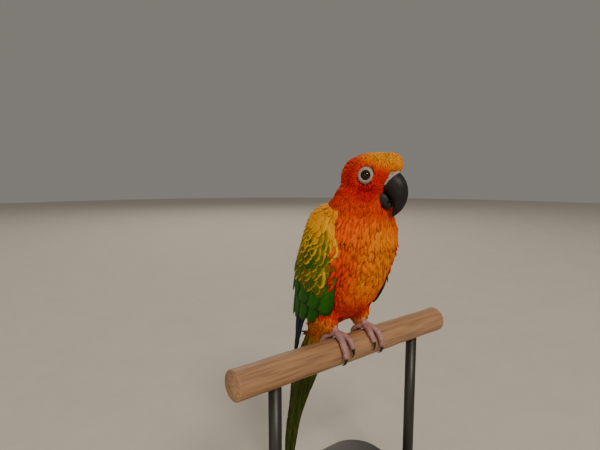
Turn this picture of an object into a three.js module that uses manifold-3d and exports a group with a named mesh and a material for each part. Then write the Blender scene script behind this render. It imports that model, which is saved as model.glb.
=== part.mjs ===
// A sun conure, a small long-tailed parrot, as a still life-size model. It grips a cut length of wooden
// perch, and two rods hold the perch over a flat base, just high enough for the hanging tail to clear it.
// Millimetres, +Z up. The bird looks along -Y, so its left side is +X, and the perch runs along X.
// The origin is the middle of the base's underside.

import * as THREE from "three";
import { LoftGeometry } from "three/addons/geometries/LoftGeometry.js";
import { mergeVertices } from "three/addons/utils/BufferGeometryUtils.js";
import Module from "manifold-3d";

const wasm = await Module();
wasm.setup();

// Driving sizes. In the bird's own frame the perch's axis is at y 0 and z 0.
const GAP = 0.3; // left between pieces that touch
const PERCH = { radius: 9, length: 180, sides: 26 };
const BASE = { length: 172, width: 132, thick: 12, corner: 26, bevel: 1.5 };
const ROD = { radius: 4, apart: 124, sides: 14 };
const TAIL_CLEARANCE = 5; // from the tail's tip down to the base
const TAIL_TIP_DEPTH = 128; // from the perch's axis down to the tail's tip
const PERCH_HEIGHT = BASE.thick + TAIL_CLEARANCE + TAIL_TIP_DEPTH;
const PERCH_AHEAD = 14; // the perch stands this far ahead of the base's middle, over the bird's weight

const HEAD = { y: -11.5, z: 110, yaw: 13, pitch: 8 };
const EYE = { forward: 4.8, up: 3, side: 13.3, ball: 4.6, opening: 3.2, ring: 5.7, bulge: 1.2 };
const BILL_BASE = 14.6; // forward of the head's middle
// The cere reaches this far over the bill and rises over it, from a height upward. Its nostrils have this
// radius, and lie apart from the middle line, ahead of the bill's base and high in the band.
const CERE = { reach: 3.2, rise: 1, from: 0.6, nostril: 1, apart: 3.1, ahead: 2.2, high: 7.2 };
const LEG_APART = 26;

const vec = (x, y, z) => new THREE.Vector3(x, y, z);
const degrees = THREE.MathUtils.degToRad;
const lerp = THREE.MathUtils.lerp;
const LEFT = vec(1, 0, 0);
const SIDES = { left: 1, right: -1 };

// Materials
const paint = (color, roughness) => new THREE.MeshStandardMaterial({ color, roughness, metalness: 0 });
const material = {
  faceFeathers: paint(0xe0560f, 0.8),
  breastFeathers: paint(0xf07c10, 0.8),
  wingCoverts: paint(0xe2b312, 0.75),
  wingGreen: paint(0x3f7a1c, 0.7),
  wingDark: paint(0x16283a, 0.65),
  tailFeathers: paint(0x4d5f20, 0.7),
  thighFeathers: paint(0xe59413, 0.8),
  bareSkin: paint(0xd8cfc6, 0.7),
  bill: paint(0x221f1f, 0.4),
  eye: paint(0x0d0806, 0.08),
  footSkin: paint(0xb98a86, 0.7),
  claw: paint(0x2a2422, 0.4),
  perchWood: paint(0xb98a5e, 0.75),
  stand: paint(0x2c2a28, 0.45),
};

// Turns a closed geometry into a solid: shared corners are merged, and faces that this flattens are dropped.
function solidOf(geometry) {
  const bare = new THREE.BufferGeometry();
  bare.setAttribute("position", geometry.getAttribute("position").clone());
  bare.setIndex(geometry.index);
  const merged = mergeVertices(bare, 1e-4);
  const corners = merged.index.array;
  const kept = [];
  for (let i = 0; i < corners.length; i += 3) {
    const [a, b, c] = [corners[i], corners[i + 1], corners[i + 2]];
    if (a !== b && b !== c && c !== a) kept.push(a, b, c);
  }
  const mesh = new wasm.Mesh({
    numProp: 3,
    vertProperties: new Float32Array(merged.getAttribute("position").array),
    triVerts: new Uint32Array(kept),
  });
  return new wasm.Manifold(mesh);
}

// The largest closed body of a solid, which drops loose scraps.
function largest(solid) {
  return solid.decompose().reduce((best, body) => (body.volume() > best.volume() ? body : best));
}

const join = (solids) => solids.reduce((all, solid) => all.add(solid));
const without = (solid, ...holes) => holes.reduce((left, hole) => left.subtract(hole), solid);

function nodeOf(name, solid, look) {
  const mesh = largest(solid).getMesh();
  const geometry = new THREE.BufferGeometry();
  const count = mesh.numProp;
  const position = new Float32Array(mesh.numVert * 3);
  for (let i = 0; i < mesh.numVert; i++) {
    position.set(mesh.vertProperties.subarray(i * count, i * count + 3), i * 3);
  }
  geometry.setAttribute("position", new THREE.BufferAttribute(position, 3));
  geometry.setIndex(new THREE.BufferAttribute(new Uint32Array(mesh.triVerts), 1));
  geometry.computeVertexNormals();
  const node = new THREE.Mesh(geometry, look);
  node.name = name;
  return node;
}

const loft = (sections) => solidOf(new LoftGeometry(sections, { capStart: true, capEnd: true }));
const moved = (solid, matrix) => solid.transform(matrix.elements);
const mirrored = (solid) => solid.mirror([1, 0, 0]);
const onSide = (solid, side) => (side > 0 ? solid : mirrored(solid));
const ball = (radius, at, wide = 14, high = 9) =>
  solidOf(new THREE.SphereGeometry(radius, wide, high).translate(at.x, at.y, at.z));

// A smooth run of named sizes through the stations: the result gives each size at a share of the way.
function sizesAlong(stations, keys) {
  const curves = [];
  for (let k = 0; k < keys.length; k += 3) {
    const three = (s) => vec(s[keys[k]] ?? 0, s[keys[k + 1]] ?? 0, s[keys[k + 2]] ?? 0);
    curves.push(new THREE.CatmullRomCurve3(stations.map(three), false, "centripetal"));
  }
  return (t) => {
    const out = {};
    curves.forEach((curve, c) => {
      const p = curve.getPoint(t);
      [p.x, p.y, p.z].forEach((value, k) => {
        if (keys[c * 3 + k]) out[keys[c * 3 + k]] = value;
      });
    });
    return out;
  };
}

// A round tube along a path, thicker or thinner as radius(share) says.
function tube(points, radius, { steps = 10, sides = 10 } = {}) {
  const path = new THREE.CatmullRomCurve3(points);
  const frames = path.computeFrenetFrames(steps);
  const sections = [];
  for (let i = 0; i <= steps; i++) {
    const share = i / steps;
    const middle = path.getPointAt(share);
    const ring = [];
    for (let j = 0; j < sides; j++) {
      const angle = (j / sides) * Math.PI * 2;
      const out = frames.normals[i].clone().multiplyScalar(Math.cos(angle));
      out.addScaledVector(frames.binormals[i], Math.sin(angle));
      ring.push(middle.clone().addScaledVector(out, radius(share)));
    }
    sections.push(ring);
  }
  return loft(sections);
}

// A closed thin body between two grids of points, with both faces split the same way.
function slab(top, under) {
  const rows = top.length;
  const columns = top[0].length;
  const at = (layer, i, j) => layer * rows * columns + i * columns + j;
  const faces = [];
  const quad = (a, b, c, d) => faces.push(a, b, c, a, c, d);
  for (let i = 0; i < rows - 1; i++) {
    for (let j = 0; j < columns - 1; j++) {
      quad(at(0, i, j), at(0, i, j + 1), at(0, i + 1, j + 1), at(0, i + 1, j));
      faces.push(at(1, i, j), at(1, i + 1, j + 1), at(1, i, j + 1));
      faces.push(at(1, i, j), at(1, i + 1, j), at(1, i + 1, j + 1));
    }
    quad(at(0, i, 0), at(0, i + 1, 0), at(1, i + 1, 0), at(1, i, 0));
    quad(at(0, i + 1, columns - 1), at(0, i, columns - 1), at(1, i, columns - 1), at(1, i + 1, columns - 1));
  }
  for (let j = 0; j < columns - 1; j++) {
    quad(at(0, 0, j + 1), at(0, 0, j), at(1, 0, j), at(1, 0, j + 1));
    quad(at(0, rows - 1, j), at(0, rows - 1, j + 1), at(1, rows - 1, j + 1), at(1, rows - 1, j));
  }
  const geometry = new THREE.BufferGeometry().setFromPoints([...top.flat(), ...under.flat()]);
  geometry.setIndex(faces);
  const solid = solidOf(geometry);
  if (solid.volume() > 0) return solid;
  for (let i = 0; i < faces.length; i += 3) [faces[i + 1], faces[i + 2]] = [faces[i + 2], faces[i + 1]];
  geometry.setIndex(faces);
  return solidOf(geometry);
}

// A repeatable number from -1 to 1 for each seed, so that no two feathers are quite alike.
const scatter = (seed) => Math.sin(seed * 127.1 + 311.7) * Math.cos(seed * 74.7 + 11.3);

// One feather: a thin vane from its root to its tip, narrow at the root and blunt at the tip, with a raised
// shaft. surface(share) gives a function of millimetres across and over, at that share of its length. Lift is
// its height at root and tip, thick its thickness there, and tilt raises its edge on the spine's side.
const VANE = {
  short: [
    { share: 0, wide: 0.7 },
    { share: 0.72, wide: 1 },
    { share: 1, wide: 0.44 },
  ],
  long: [
    { share: 0, wide: 0.6 },
    { share: 0.45, wide: 1 },
    { share: 0.84, wide: 0.9 },
    { share: 1, wide: 0.34 },
  ],
  shaft: 0.25, // how far the shaft stands over the vane
};
function vane(surface, { shape, width, lift, thick, tilt = 0, shaft = VANE.shaft }) {
  const topRows = [];
  const underRows = [];
  for (const { share, wide } of shape) {
    const point = surface(share);
    const half = (width / 2) * wide;
    const over = lerp(lift[0], lift[1], share);
    const depth = lerp(thick[0], thick[1], share);
    topRows.push([-1, 0, 1].map((k) => point(k * half, over + k * tilt + (k === 0 ? shaft : 0))));
    underRows.push([-1, 0, 1].map((k) => point(k * half, over + k * tilt - depth)));
  }
  return slab(topRows, underRows);
}

// Trunk
// Cross-sections from the root of the tail up into the head, each square to the trunk's own line.
// wide is half the width, front the depth towards the breast and back the depth towards the spine.
const TRUNK = [
  { y: 35.5, z: 1, wide: 8, front: 5.5, back: 4.5 },
  { y: 29, z: 14, wide: 14, front: 12, back: 8.5 },
  { y: 21.5, z: 30.5, wide: 21, front: 22, back: 14 },
  { y: 11.5, z: 49, wide: 27, front: 28.5, back: 18 },
  { y: 2.5, z: 68, wide: 28.5, front: 28, back: 20 },
  { y: -3, z: 83.5, wide: 26.5, front: 25, back: 19 },
  { y: -7.5, z: 95, wide: 20.5, front: 19.5, back: 17 },
  { y: -10, z: 104, wide: 16, front: 15.5, back: 15 },
  { y: -11.5, z: 111, wide: 12, front: 12, back: 11 },
];
const TRUNK_RINGS = 14;
const TRUNK_SIDES = 22;
const CUTS = { shoulders: 0.66, nape: 0.84 }; // shares of the trunk where torso, neck and head part
const trunkLine = new THREE.CatmullRomCurve3(TRUNK.map((s) => vec(0, s.y, s.z)), false, "centripetal");
const trunkSizes = sizesAlong(TRUNK, ["wide", "front", "back"]);

// A point on a closed cross-section. angle 0 is the breast's midline, 90 the left side and 180 the spine.
function onSection(middle, upward, sizes, angle, proud) {
  const back = upward.clone().cross(LEFT).normalize();
  const deep = Math.cos(angle) > 0 ? sizes.front : sizes.back;
  const point = middle.clone();
  point.addScaledVector(LEFT, Math.sin(angle) * (sizes.wide + proud));
  return point.addScaledVector(back, -Math.cos(angle) * (deep + proud));
}

function trunk(proud = 0) {
  const sections = [];
  for (let i = 0; i <= TRUNK_RINGS; i++) {
    const t = i / TRUNK_RINGS;
    const ring = [];
    for (let j = 0; j < TRUNK_SIDES; j++) {
      const angle = (j / TRUNK_SIDES) * Math.PI * 2;
      ring.push(onSection(trunkLine.getPoint(t), trunkLine.getTangent(t), trunkSizes(t), angle, proud));
    }
    sections.push(ring);
  }
  return loft(sections);
}

// Keeps the part of a solid above or below the trunk's cross-section at a share of its length.
function trunkPart(solid, share, keepAbove) {
  const at = trunkLine.getPoint(share);
  const along = trunkLine.getTangent(share);
  const sign = keepAbove ? 1 : -1;
  return solid.trimByPlane([0, along.y * sign, along.z * sign], at.dot(along) * sign + GAP / 2);
}

// Head, in its own frame: -Y forward, +Z up, origin between the ears.
// forward is the way to the face, up and down the heights over and under the middle line, and lean how far a
// section tips forward for each millimetre of height.
const HEAD_STATIONS = [
  { forward: -16, up: 3, down: 3, wide: 3, lean: 0 },
  { forward: -14, up: 8.5, down: 8, wide: 7.8, lean: 0 },
  { forward: -8.5, up: 13.2, down: 12.5, wide: 12.2, lean: 0 },
  { forward: 0, up: 16.6, down: 15.5, wide: 14.2, lean: 0.02 },
  { forward: 7.5, up: 17.4, down: 15.5, wide: 13.4, lean: 0.14 },
  { forward: 12.6, up: 16.4, down: 13.6, wide: 10.8, lean: 0.3 },
  { forward: 15.4, up: 12.8, down: 11, wide: 8.4, lean: 0.4 },
  { forward: 16.4, up: 8.6, down: 8.2, wide: 6.4, lean: 0.44 },
];
const HEAD_RINGS = 13;
const HEAD_SIDES = 22;
const headSizes = sizesAlong(HEAD_STATIONS, ["up", "down", "wide", "forward", "lean"]);
const headPlace = new THREE.Matrix4()
  .makeTranslation(0, HEAD.y, HEAD.z)
  .multiply(new THREE.Matrix4().makeRotationZ(degrees(HEAD.yaw)))
  .multiply(new THREE.Matrix4().makeRotationX(degrees(HEAD.pitch)));

function skull(proud = 0) {
  const sections = [];
  for (let i = 0; i <= HEAD_RINGS; i++) {
    const s = headSizes(i / HEAD_RINGS);
    const ring = [];
    for (let j = 0; j < HEAD_SIDES; j++) {
      const angle = (-j / HEAD_SIDES) * Math.PI * 2;
      const high = Math.cos(angle) * ((Math.cos(angle) > 0 ? s.up : s.down) + proud);
      ring.push(vec(Math.sin(angle) * (s.wide + proud), -s.forward - s.lean * high, high));
    }
    sections.push(ring);
  }
  return loft(sections);
}

// Bill. Each horn is a run of sections along its own middle line.
const UPPER_BILL = [
  { forward: BILL_BASE - 3.6, up: 0.8, wide: 6.7, high: 6.8 },
  { forward: BILL_BASE + 1, up: 0.8, wide: 6.6, high: 7 },
  { forward: BILL_BASE + 5, up: -1.6, wide: 5.9, high: 6.5 },
  { forward: BILL_BASE + 7.6, up: -6.2, wide: 4.5, high: 5.3 },
  { forward: BILL_BASE + 8, up: -11.6, wide: 2.9, high: 3.6 },
  { forward: BILL_BASE + 6.8, up: -16.2, wide: 1.3, high: 1.8 },
  { forward: BILL_BASE + 5.6, up: -19, wide: 0.4, high: 0.5 },
];
const HORN_SIDES = 14;
const LOWER_BILL = [
  { forward: BILL_BASE - 7, up: -8.4, wide: 6.6, high: 5 },
  { forward: BILL_BASE - 2.5, up: -9.8, wide: 6.3, high: 4.8 },
  { forward: BILL_BASE + 0.6, up: -11.8, wide: 5.2, high: 3.8 },
  { forward: BILL_BASE + 2.8, up: -12.8, wide: 3.8, high: 2.4 },
  { forward: BILL_BASE + 4.2, up: -12.6, wide: 2.3, high: 1.1 },
];

// A horn lofted through its stations; proud swells it evenly for clearance.
function horn(stations, sides, proud = 0) {
  const line = new THREE.CatmullRomCurve3(stations.map((s) => vec(0, -s.forward, s.up)));
  const sizes = sizesAlong(stations, ["wide", "high"]);
  const rings = Math.round(stations.length * 1.4);
  const sections = [];
  for (let i = 0; i <= rings; i++) {
    const t = i / rings;
    const up = line.getTangent(t).cross(LEFT).normalize();
    const ring = [];
    for (let j = 0; j < sides; j++) {
      const angle = (j / sides) * Math.PI * 2;
      const point = line.getPoint(t).addScaledVector(LEFT, Math.cos(angle) * (sizes(t).wide + proud));
      ring.push(point.addScaledVector(up, Math.sin(angle) * (sizes(t).high + proud)));
    }
    sections.push(ring);
  }
  return loft(sections);
}

// The eye sits in the side of the head and bulges a little from it, looking a little forward.
const eyeLook = vec(1, -0.3, 0.12).normalize();
const eyeTurn = new THREE.Quaternion().setFromUnitVectors(vec(0, 1, 0), eyeLook);
const eyePlace = new THREE.Matrix4().compose(
  vec(EYE.side - EYE.ball + EYE.bulge, -EYE.forward, EYE.up),
  eyeTurn,
  vec(1, 1, 1),
);

const EYE_SIDES = 14;

// The bare ring of skin round the eye, turned about the eye's own axis. Its raised inner rim is the lids.
function eyeRing() {
  const seat = EYE.ball + GAP;
  const rim = Math.sqrt(seat ** 2 - EYE.opening ** 2);
  const onSeat = (angle) => new THREE.Vector2(seat * Math.cos(angle), seat * Math.sin(angle));
  const half = Math.atan2(rim, EYE.opening) / 2;
  const profile = [
    onSeat(0),
    new THREE.Vector2(EYE.ring, 0),
    new THREE.Vector2(EYE.ring, 1.6),
    new THREE.Vector2(EYE.ring - 0.8, rim - 0.5),
    new THREE.Vector2(EYE.opening + 0.7, rim + 0.7),
    new THREE.Vector2(EYE.opening, rim + 0.5),
    onSeat(2 * half),
    onSeat(half),
    onSeat(0),
  ];
  return solidOf(new THREE.LatheGeometry(profile, EYE_SIDES));
}

// The room that eyeball and ring need in the head.
function eyeRoom() {
  const wide = EYE.ring + GAP;
  const deep = EYE.ball + GAP;
  const profile = [
    new THREE.Vector2(0, -deep),
    new THREE.Vector2(deep / 2, -deep),
    new THREE.Vector2(deep, -deep / 2),
    new THREE.Vector2(deep, -GAP),
    new THREE.Vector2(wide, -GAP),
    new THREE.Vector2(wide, 2 * deep),
    new THREE.Vector2(0, 2 * deep),
  ];
  return solidOf(new THREE.LatheGeometry(profile, EYE_SIDES));
}

// A block that covers everything ahead of a slanting plane in the head's frame.
function aheadOf(forward, up, slant) {
  const size = 60;
  const place = new THREE.Matrix4()
    .makeTranslation(0, -forward, up)
    .multiply(new THREE.Matrix4().makeRotationX(slant))
    .multiply(new THREE.Matrix4().makeTranslation(0, -size / 2, 0));
  return moved(solidOf(new THREE.BoxGeometry(size, size, size)), place);
}

// The cere is the swollen band of skin over the bill's root, with a nostril in each side.
function cereBand() {
  const root = UPPER_BILL.slice(0, 3);
  const swollen = root.map((s) => ({ ...s, wide: s.wide + CERE.rise, high: s.high + CERE.rise }));
  const upperHalf = solidOf(new THREE.BoxGeometry(60, 60, 30).translate(0, 0, CERE.from + 15));
  const nostrilAt = (side) => vec(side * CERE.apart, -BILL_BASE - CERE.ahead, CERE.high);
  const nostrils = [-1, 1].map((side) => ball(CERE.nostril, nostrilAt(side), 8, 6));
  const edge = aheadOf(BILL_BASE + CERE.reach, 3, degrees(20));
  return without(horn(swollen, HORN_SIDES), edge, ...nostrils).intersect(upperHalf);
}

function headPieces() {
  const upperRoom = horn(UPPER_BILL, HORN_SIDES, GAP);
  const eyeHole = moved(eyeRoom(), eyePlace);
  return {
    cere: cereBand().subtract(skull(GAP)).subtract(upperRoom),
    upper: horn(UPPER_BILL, HORN_SIDES),
    lower: horn(LOWER_BILL, HORN_SIDES).subtract(upperRoom),
    eye: moved(ball(EYE.ball, vec(0, 0, 0), 12, 9), eyePlace),
    ring: moved(eyeRing(), eyePlace),
    rooms: [horn(LOWER_BILL, HORN_SIDES, GAP).add(upperRoom), eyeHole, mirrored(eyeHole)],
  };
}

// Legs. A toe lies on an arc round the perch, from the top of the perch to its reach, and ends in its claw.
// ahead is 1 for the two toes that grip the front and -1 for the two that grip the back.
const TOES = [
  { name: "inner_front", ahead: 1, aside: -0.62, length: 15.5, thick: 2.15, claw: 6.4 },
  { name: "outer_front", ahead: 1, aside: 0.62, length: 20, thick: 2.3, claw: 7 },
  { name: "outer_back", ahead: -1, aside: 0.55, length: 17.5, thick: 2.2, claw: 6.6 },
  { name: "inner_back", ahead: -1, aside: -0.5, length: 11, thick: 2.0, claw: 6 },
];
const FOOT = { y: 1.5, spread: 5.4, shank: 2.5, over: 2.2 };
const ANKLE = { out: 1.5, y: 10, z: 27 };
const THIGH = [
  { out: -2.5, y: 11, z: 44, wide: 9, deep: 11 },
  { out: -0.5, y: 11, z: 33, wide: 9.4, deep: 11 },
  { out: 0.8, y: 10.2, z: 22, wide: 8.4, deep: 9.4 },
  { out: 1, y: 8.4, z: 14.8, wide: 6, deep: 6.4 },
  { out: 0.8, y: 7.2, z: 12.4, wide: 4.2, deep: 4.4 },
];

// A point round the perch: angle runs from its top towards the breast, and off is the height over the wood.
const roundPerch = (x, angle, off) =>
  vec(x, -Math.sin(angle) * (PERCH.radius + off), Math.cos(angle) * (PERCH.radius + off));

function toePath(side, toe, from, to, steps) {
  const rest = toe.thick + GAP;
  const reach = toe.length / (PERCH.radius + rest);
  const start = -FOOT.y / (PERCH.radius + rest);
  const points = [];
  for (let i = 0; i <= steps; i++) {
    const share = lerp(from, to, i / steps);
    const aside = toe.aside * FOOT.spread * Math.min(1, Math.max(0, share) * 1.6) ** 0.8;
    points.push(roundPerch(side * (LEG_APART / 2 + aside), start + toe.ahead * reach * share, rest));
  }
  return points;
}

const anklePoint = (side) => vec(side * (LEG_APART / 2 + ANKLE.out), ANKLE.y, ANKLE.z);
const shankPath = (side) => [
  vec((side * LEG_APART) / 2, FOOT.y - 0.4, PERCH.radius + GAP + FOOT.over),
  vec(side * (LEG_APART / 2 + 0.4), FOOT.y + 2.6, PERCH.radius + GAP + FOOT.over + 5),
  anklePoint(side),
];

function foot(side) {
  const toes = TOES.map((toe) =>
    tube(toePath(side, toe, -0.05, 1, 6), (t) => toe.thick * (1.02 - 0.22 * t + 0.06 * Math.cos(t * 20)), {
      steps: 6,
      sides: 6,
    }),
  );
  const thick = (t) => FOOT.shank * (1.08 - 0.2 * Math.sin(Math.PI * t));
  const shank = tube(shankPath(side), thick, { steps: 4, sides: 10 });
  return join([...toes, shank]);
}

// The room that the shank needs inside the feathered thigh.
function shankRoom(side) {
  const path = shankPath(side);
  const beyond = path[2].clone().add(path[2].clone().sub(path[1]).setLength(1.4));
  return tube([...path, beyond], () => FOOT.shank * 1.12 + GAP, { steps: 5, sides: 10 });
}

// A claw carries on from its toe, sinking towards the wood as it thins to its point.
function claw(side, toe) {
  const steps = 4;
  const path = toePath(side, toe, 1, 1 + toe.claw / toe.length, steps);
  const ahead = path[1].clone().sub(path[0]).setLength(GAP);
  const points = path.map((p, i) => {
    const share = i / steps;
    const away = 0.9 * Math.sin(share * Math.PI) - share * (toe.thick - 0.75);
    return p.clone().add(ahead).addScaledVector(vec(0, p.y, p.z).normalize(), away);
  });
  return tube(points, (t) => lerp(toe.thick * 0.66, 0.28, t ** 0.8), { steps, sides: 6 });
}

function thigh(side, proud = 0) {
  const sides = 12;
  const sections = THIGH.map((s) => {
    const ring = [];
    for (let j = 0; j < sides; j++) {
      const angle = (-j / sides) * Math.PI * 2;
      const x = side * (LEG_APART / 2 + s.out);
      ring.push(vec(x + Math.cos(angle) * (s.wide + proud), s.y + Math.sin(angle) * (s.deep + proud), s.z));
    }
    return ring;
  });
  return loft(sections);
}

// Wings. They lie on a bed that follows the trunk's sides and runs on past it over the root of the tail.
const BED = [
  { y: -6, z: 92, wide: 23, front: 17, back: 18 },
  { y: -2, z: 82, wide: 28.6, front: 24, back: 22.5 },
  { y: 4, z: 66, wide: 30, front: 27.5, back: 23.5 },
  { y: 12, z: 49, wide: 29.5, front: 28, back: 22.5 },
  { y: 21, z: 31, wide: 25.5, front: 24, back: 19.5 },
  { y: 30, z: 13.5, wide: 20, front: 15.5, back: 15 },
  { y: 37.5, z: -6, wide: 15, front: 10, back: 11 },
  { y: 44.5, z: -26, wide: 12, front: 6, back: 8.5 },
  { y: 51, z: -48, wide: 10, front: 4, back: 6 },
];
const bedLine = new THREE.CatmullRomCurve3(BED.map((s) => vec(0, s.y, s.z)), false, "centripetal");
const bedSizes = sizesAlong(BED, ["wide", "front", "back"]);

// A point over the bed of the left wing: along is 0 at the shoulder and 1 at the wing's end, round the angle
// in degrees from the breast towards the spine, aside millimetres across, and over the height above the bed.
function onBed(along, round, aside, over) {
  const t = bedLine.getUtoTmapping(along);
  const sizes = bedSizes(t);
  const angle = degrees(round) + aside / Math.max(sizes.wide, 6);
  return onSection(bedLine.getPoint(t), bedLine.getTangent(t).negate(), sizes, angle, over);
}

// The edges of the folded wing on the bed, from the breast's side to the spine's side, as degrees round it.
const WING_EDGES = [
  { along: 0, low: 84, high: 122 },
  { along: 0.06, low: 68, high: 146 },
  { along: 0.16, low: 60, high: 160 },
  { along: 0.3, low: 51, high: 168 },
  { along: 0.47, low: 42, high: 171 },
  { along: 0.62, low: 84, high: 172 },
  { along: 0.8, low: 104, high: 168 },
  { along: 1, low: 132, high: 160 },
];
const wingEdge = sizesAlong(WING_EDGES, ["along", "low", "high"]);
function edgesAt(along) {
  let [before, after] = [0, 1];
  for (let i = 0; i < 24; i++) {
    const middle = (before + after) / 2;
    if (wingEdge(middle).along < along) before = middle;
    else after = middle;
  }
  return wingEdge(before);
}

// A smooth layer of the wing between two places along it, with its top and underside at heights over the bed.
// Before the place called open, the underside is sunk into the trunk.
const SUNK = -3;
function layer({ from, to, over, under, open = 0 }, rows = 4, columns = 5) {
  const topRows = [];
  const underRows = [];
  for (let i = 0; i <= rows; i++) {
    const along = lerp(from, to, i / rows);
    const { low, high } = edgesAt(along);
    const across = Array.from({ length: columns + 1 }, (_, j) => lerp(low, high, j / columns));
    topRows.push(across.map((round) => onBed(along, round, 0, over)));
    underRows.push(across.map((round) => onBed(along, round, 0, along < open ? SUNK : under)));
  }
  return slab(topRows, underRows);
}

const WING_LAYERS = {
  coverts: { from: 0, to: 0.27, over: 3.7, under: 2.7, open: 0.16 },
  secondaries: { from: 0.215, to: 0.455, over: 1.6, under: 0.7 },
  primaries: { from: 0.475, to: 0.66, over: 0.5, under: -0.6 },
};

// The rows of feathers on each layer of the wing, lowest first. Each pair runs from the breast's side to the
// spine's side. Roots lie at from along the wing and at round round it, and tips at to and at end.
const WING_ROWS = {
  coverts: [
    { count: 5, from: [0.17, 0.16], round: [66, 155], to: [0.32, 0.345], end: [55, 161], width: 12.6 },
    { count: 5, from: [0.1, 0.09], round: [72, 154], to: [0.235, 0.25], end: [60, 156], width: 12 },
    { count: 4, from: [0.035, 0.025], round: [80, 140], to: [0.16, 0.17], end: [67, 148], width: 12.6 },
    { count: 2, from: [0, 0], round: [94, 118], to: [0.085, 0.095], end: [84, 128], width: 15 },
  ],
  secondaries: [
    { count: 6, from: [0.3, 0.32], round: [58, 160], to: [0.49, 0.62], end: [44, 166], width: 10.6 },
    { count: 4, from: [0.235, 0.235], round: [62, 156], to: [0.4, 0.42], end: [52, 160], width: 15 },
  ],
  primaries: [
    { count: 6, from: [0.48, 0.5], round: [72, 156], to: [1, 0.7], end: [138, 164], width: 7.4 },
  ],
};
// How the feathers of a layer stand: over is the height of the roots, rise how much higher the tips are, and
// stack how much each feather lies over the one before it.
const WING_STAND = {
  coverts: { over: 3.5, rise: 1.3, stack: 0, shape: VANE.short },
  secondaries: { over: 1.4, rise: 1.9, stack: 0, shape: VANE.long },
  primaries: { over: 0.2, rise: 1.3, stack: 0.36, shape: VANE.long },
};
const VANE_THICK = [0.65, 0.9];
const VANE_TILT = -0.3;

function wingFeathers(name) {
  const stand = WING_STAND[name];
  const vanes = [];
  WING_ROWS[name].forEach((row, r) => {
    for (let i = 0; i < row.count; i++) {
      const share = i / (row.count - 1);
      const between = (pair) => lerp(pair[0], pair[1], share);
      const tipAlong = between(row.to) + 0.008 * scatter(r * 31 + i);
      const surface = (t) => {
        const round = lerp(between(row.round), between(row.end), t);
        return (aside, over) => onBed(lerp(between(row.from), tipAlong, t), round, aside, over);
      };
      const lift = [stand.over, stand.over + stand.rise + stand.stack * i];
      const looks = { shape: stand.shape, width: row.width, lift, thick: VANE_THICK, tilt: VANE_TILT };
      vanes.push(vane(surface, looks));
    }
  });
  return vanes;
}

const wingSolid = (name) => join([layer(WING_LAYERS[name]), ...wingFeathers(name)]);

// Tail. Its line runs down from the rump, and its upper side faces away from the perch.
const TAIL = [
  { y: 33, z: 6, wide: 7 },
  { y: 42.5, z: -14, wide: 12 },
  { y: 51, z: -35, wide: 14 },
  { y: 58, z: -60, wide: 12 },
  { y: 64, z: -87, wide: 8.5 },
  { y: 70, z: 0.8 - TAIL_TIP_DEPTH, wide: 4 },
];
const TAIL_ARCH = 0.007; // how much the tail bends down across its width, per millimetre squared
const tailLine = new THREE.CatmullRomCurve3(TAIL.map((s) => vec(0, s.y, s.z)), false, "centripetal");
const tailSizes = sizesAlong(TAIL, ["wide"]);

function onTail(along, aside, over) {
  const t = tailLine.getUtoTmapping(along);
  const outward = tailLine.getTangent(t).cross(LEFT).negate().normalize();
  const point = tailLine.getPoint(t).add(vec(aside, 0, 0));
  return point.addScaledVector(outward, over - TAIL_ARCH * aside * aside);
}

// Tail feathers in pairs, from the long middle pair on top to the short outer pair beneath.
const TAIL_PAIRS = { count: 5, shortest: 0.5, width: 9.6, step: 1, thick: 0.5, apart: 0.4, shaft: 0.1 };
const TAIL_ROOT = { half: 6.5, from: 0.02, to: 0.16, over: 1.4, under: -1.8 };

function tailFeathers() {
  const vanes = [];
  for (let pair = TAIL_PAIRS.count - 1; pair >= 0; pair--) {
    const outer = pair / (TAIL_PAIRS.count - 1);
    const width = TAIL_PAIRS.width * lerp(1, 0.8, outer);
    for (const side of [-1, 1]) {
      const uneven = pair ? 0.006 * scatter(pair * 7 + side) : 0;
      const length = lerp(1, TAIL_PAIRS.shortest, outer ** 1.15) + uneven;
      const surface = (share) => {
        const along = lerp(TAIL_ROOT.from, length, share);
        const edge = tailSizes(tailLine.getUtoTmapping(along)).wide;
        const middle = Math.max((width + TAIL_PAIRS.apart) / 2, lerp(width / 2, edge - width / 2, outer));
        return (aside, over) => onTail(along, side * middle + aside, over);
      };
      const over = (0.5 - outer) * TAIL_PAIRS.step * (TAIL_PAIRS.count - 1);
      const thick = [TAIL_PAIRS.thick, TAIL_PAIRS.thick];
      const looks = { shape: VANE.long, width, lift: [over, over], thick, shaft: TAIL_PAIRS.shaft };
      vanes.push(vane(surface, looks));
    }
  }
  return vanes;
}

// A smooth slab of the tail between two places along it, as wide as the tail or of a set half width.
function tailSlab({ from, to, over, under, half, wider = 0 }, rows, columns) {
  const topRows = [];
  const underRows = [];
  for (let i = 0; i <= rows; i++) {
    const along = lerp(from, to, i / rows);
    const full = tailSizes(tailLine.getUtoTmapping(along)).wide;
    const wide = (half ?? full) + wider;
    const across = Array.from({ length: columns + 1 }, (_, j) => lerp(-wide, wide, j / columns));
    topRows.push(across.map((aside) => onTail(along, aside, over)));
    underRows.push(across.map((aside) => onTail(along, aside, under)));
  }
  return slab(topRows, underRows);
}

const tailSolid = () => join([tailSlab(TAIL_ROOT, 2, 3), ...tailFeathers()]);

// Perch and stand
function perch() {
  const rod = new THREE.CylinderGeometry(PERCH.radius, PERCH.radius, PERCH.length, PERCH.sides);
  return solidOf(rod.rotateZ(Math.PI / 2));
}

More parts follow.
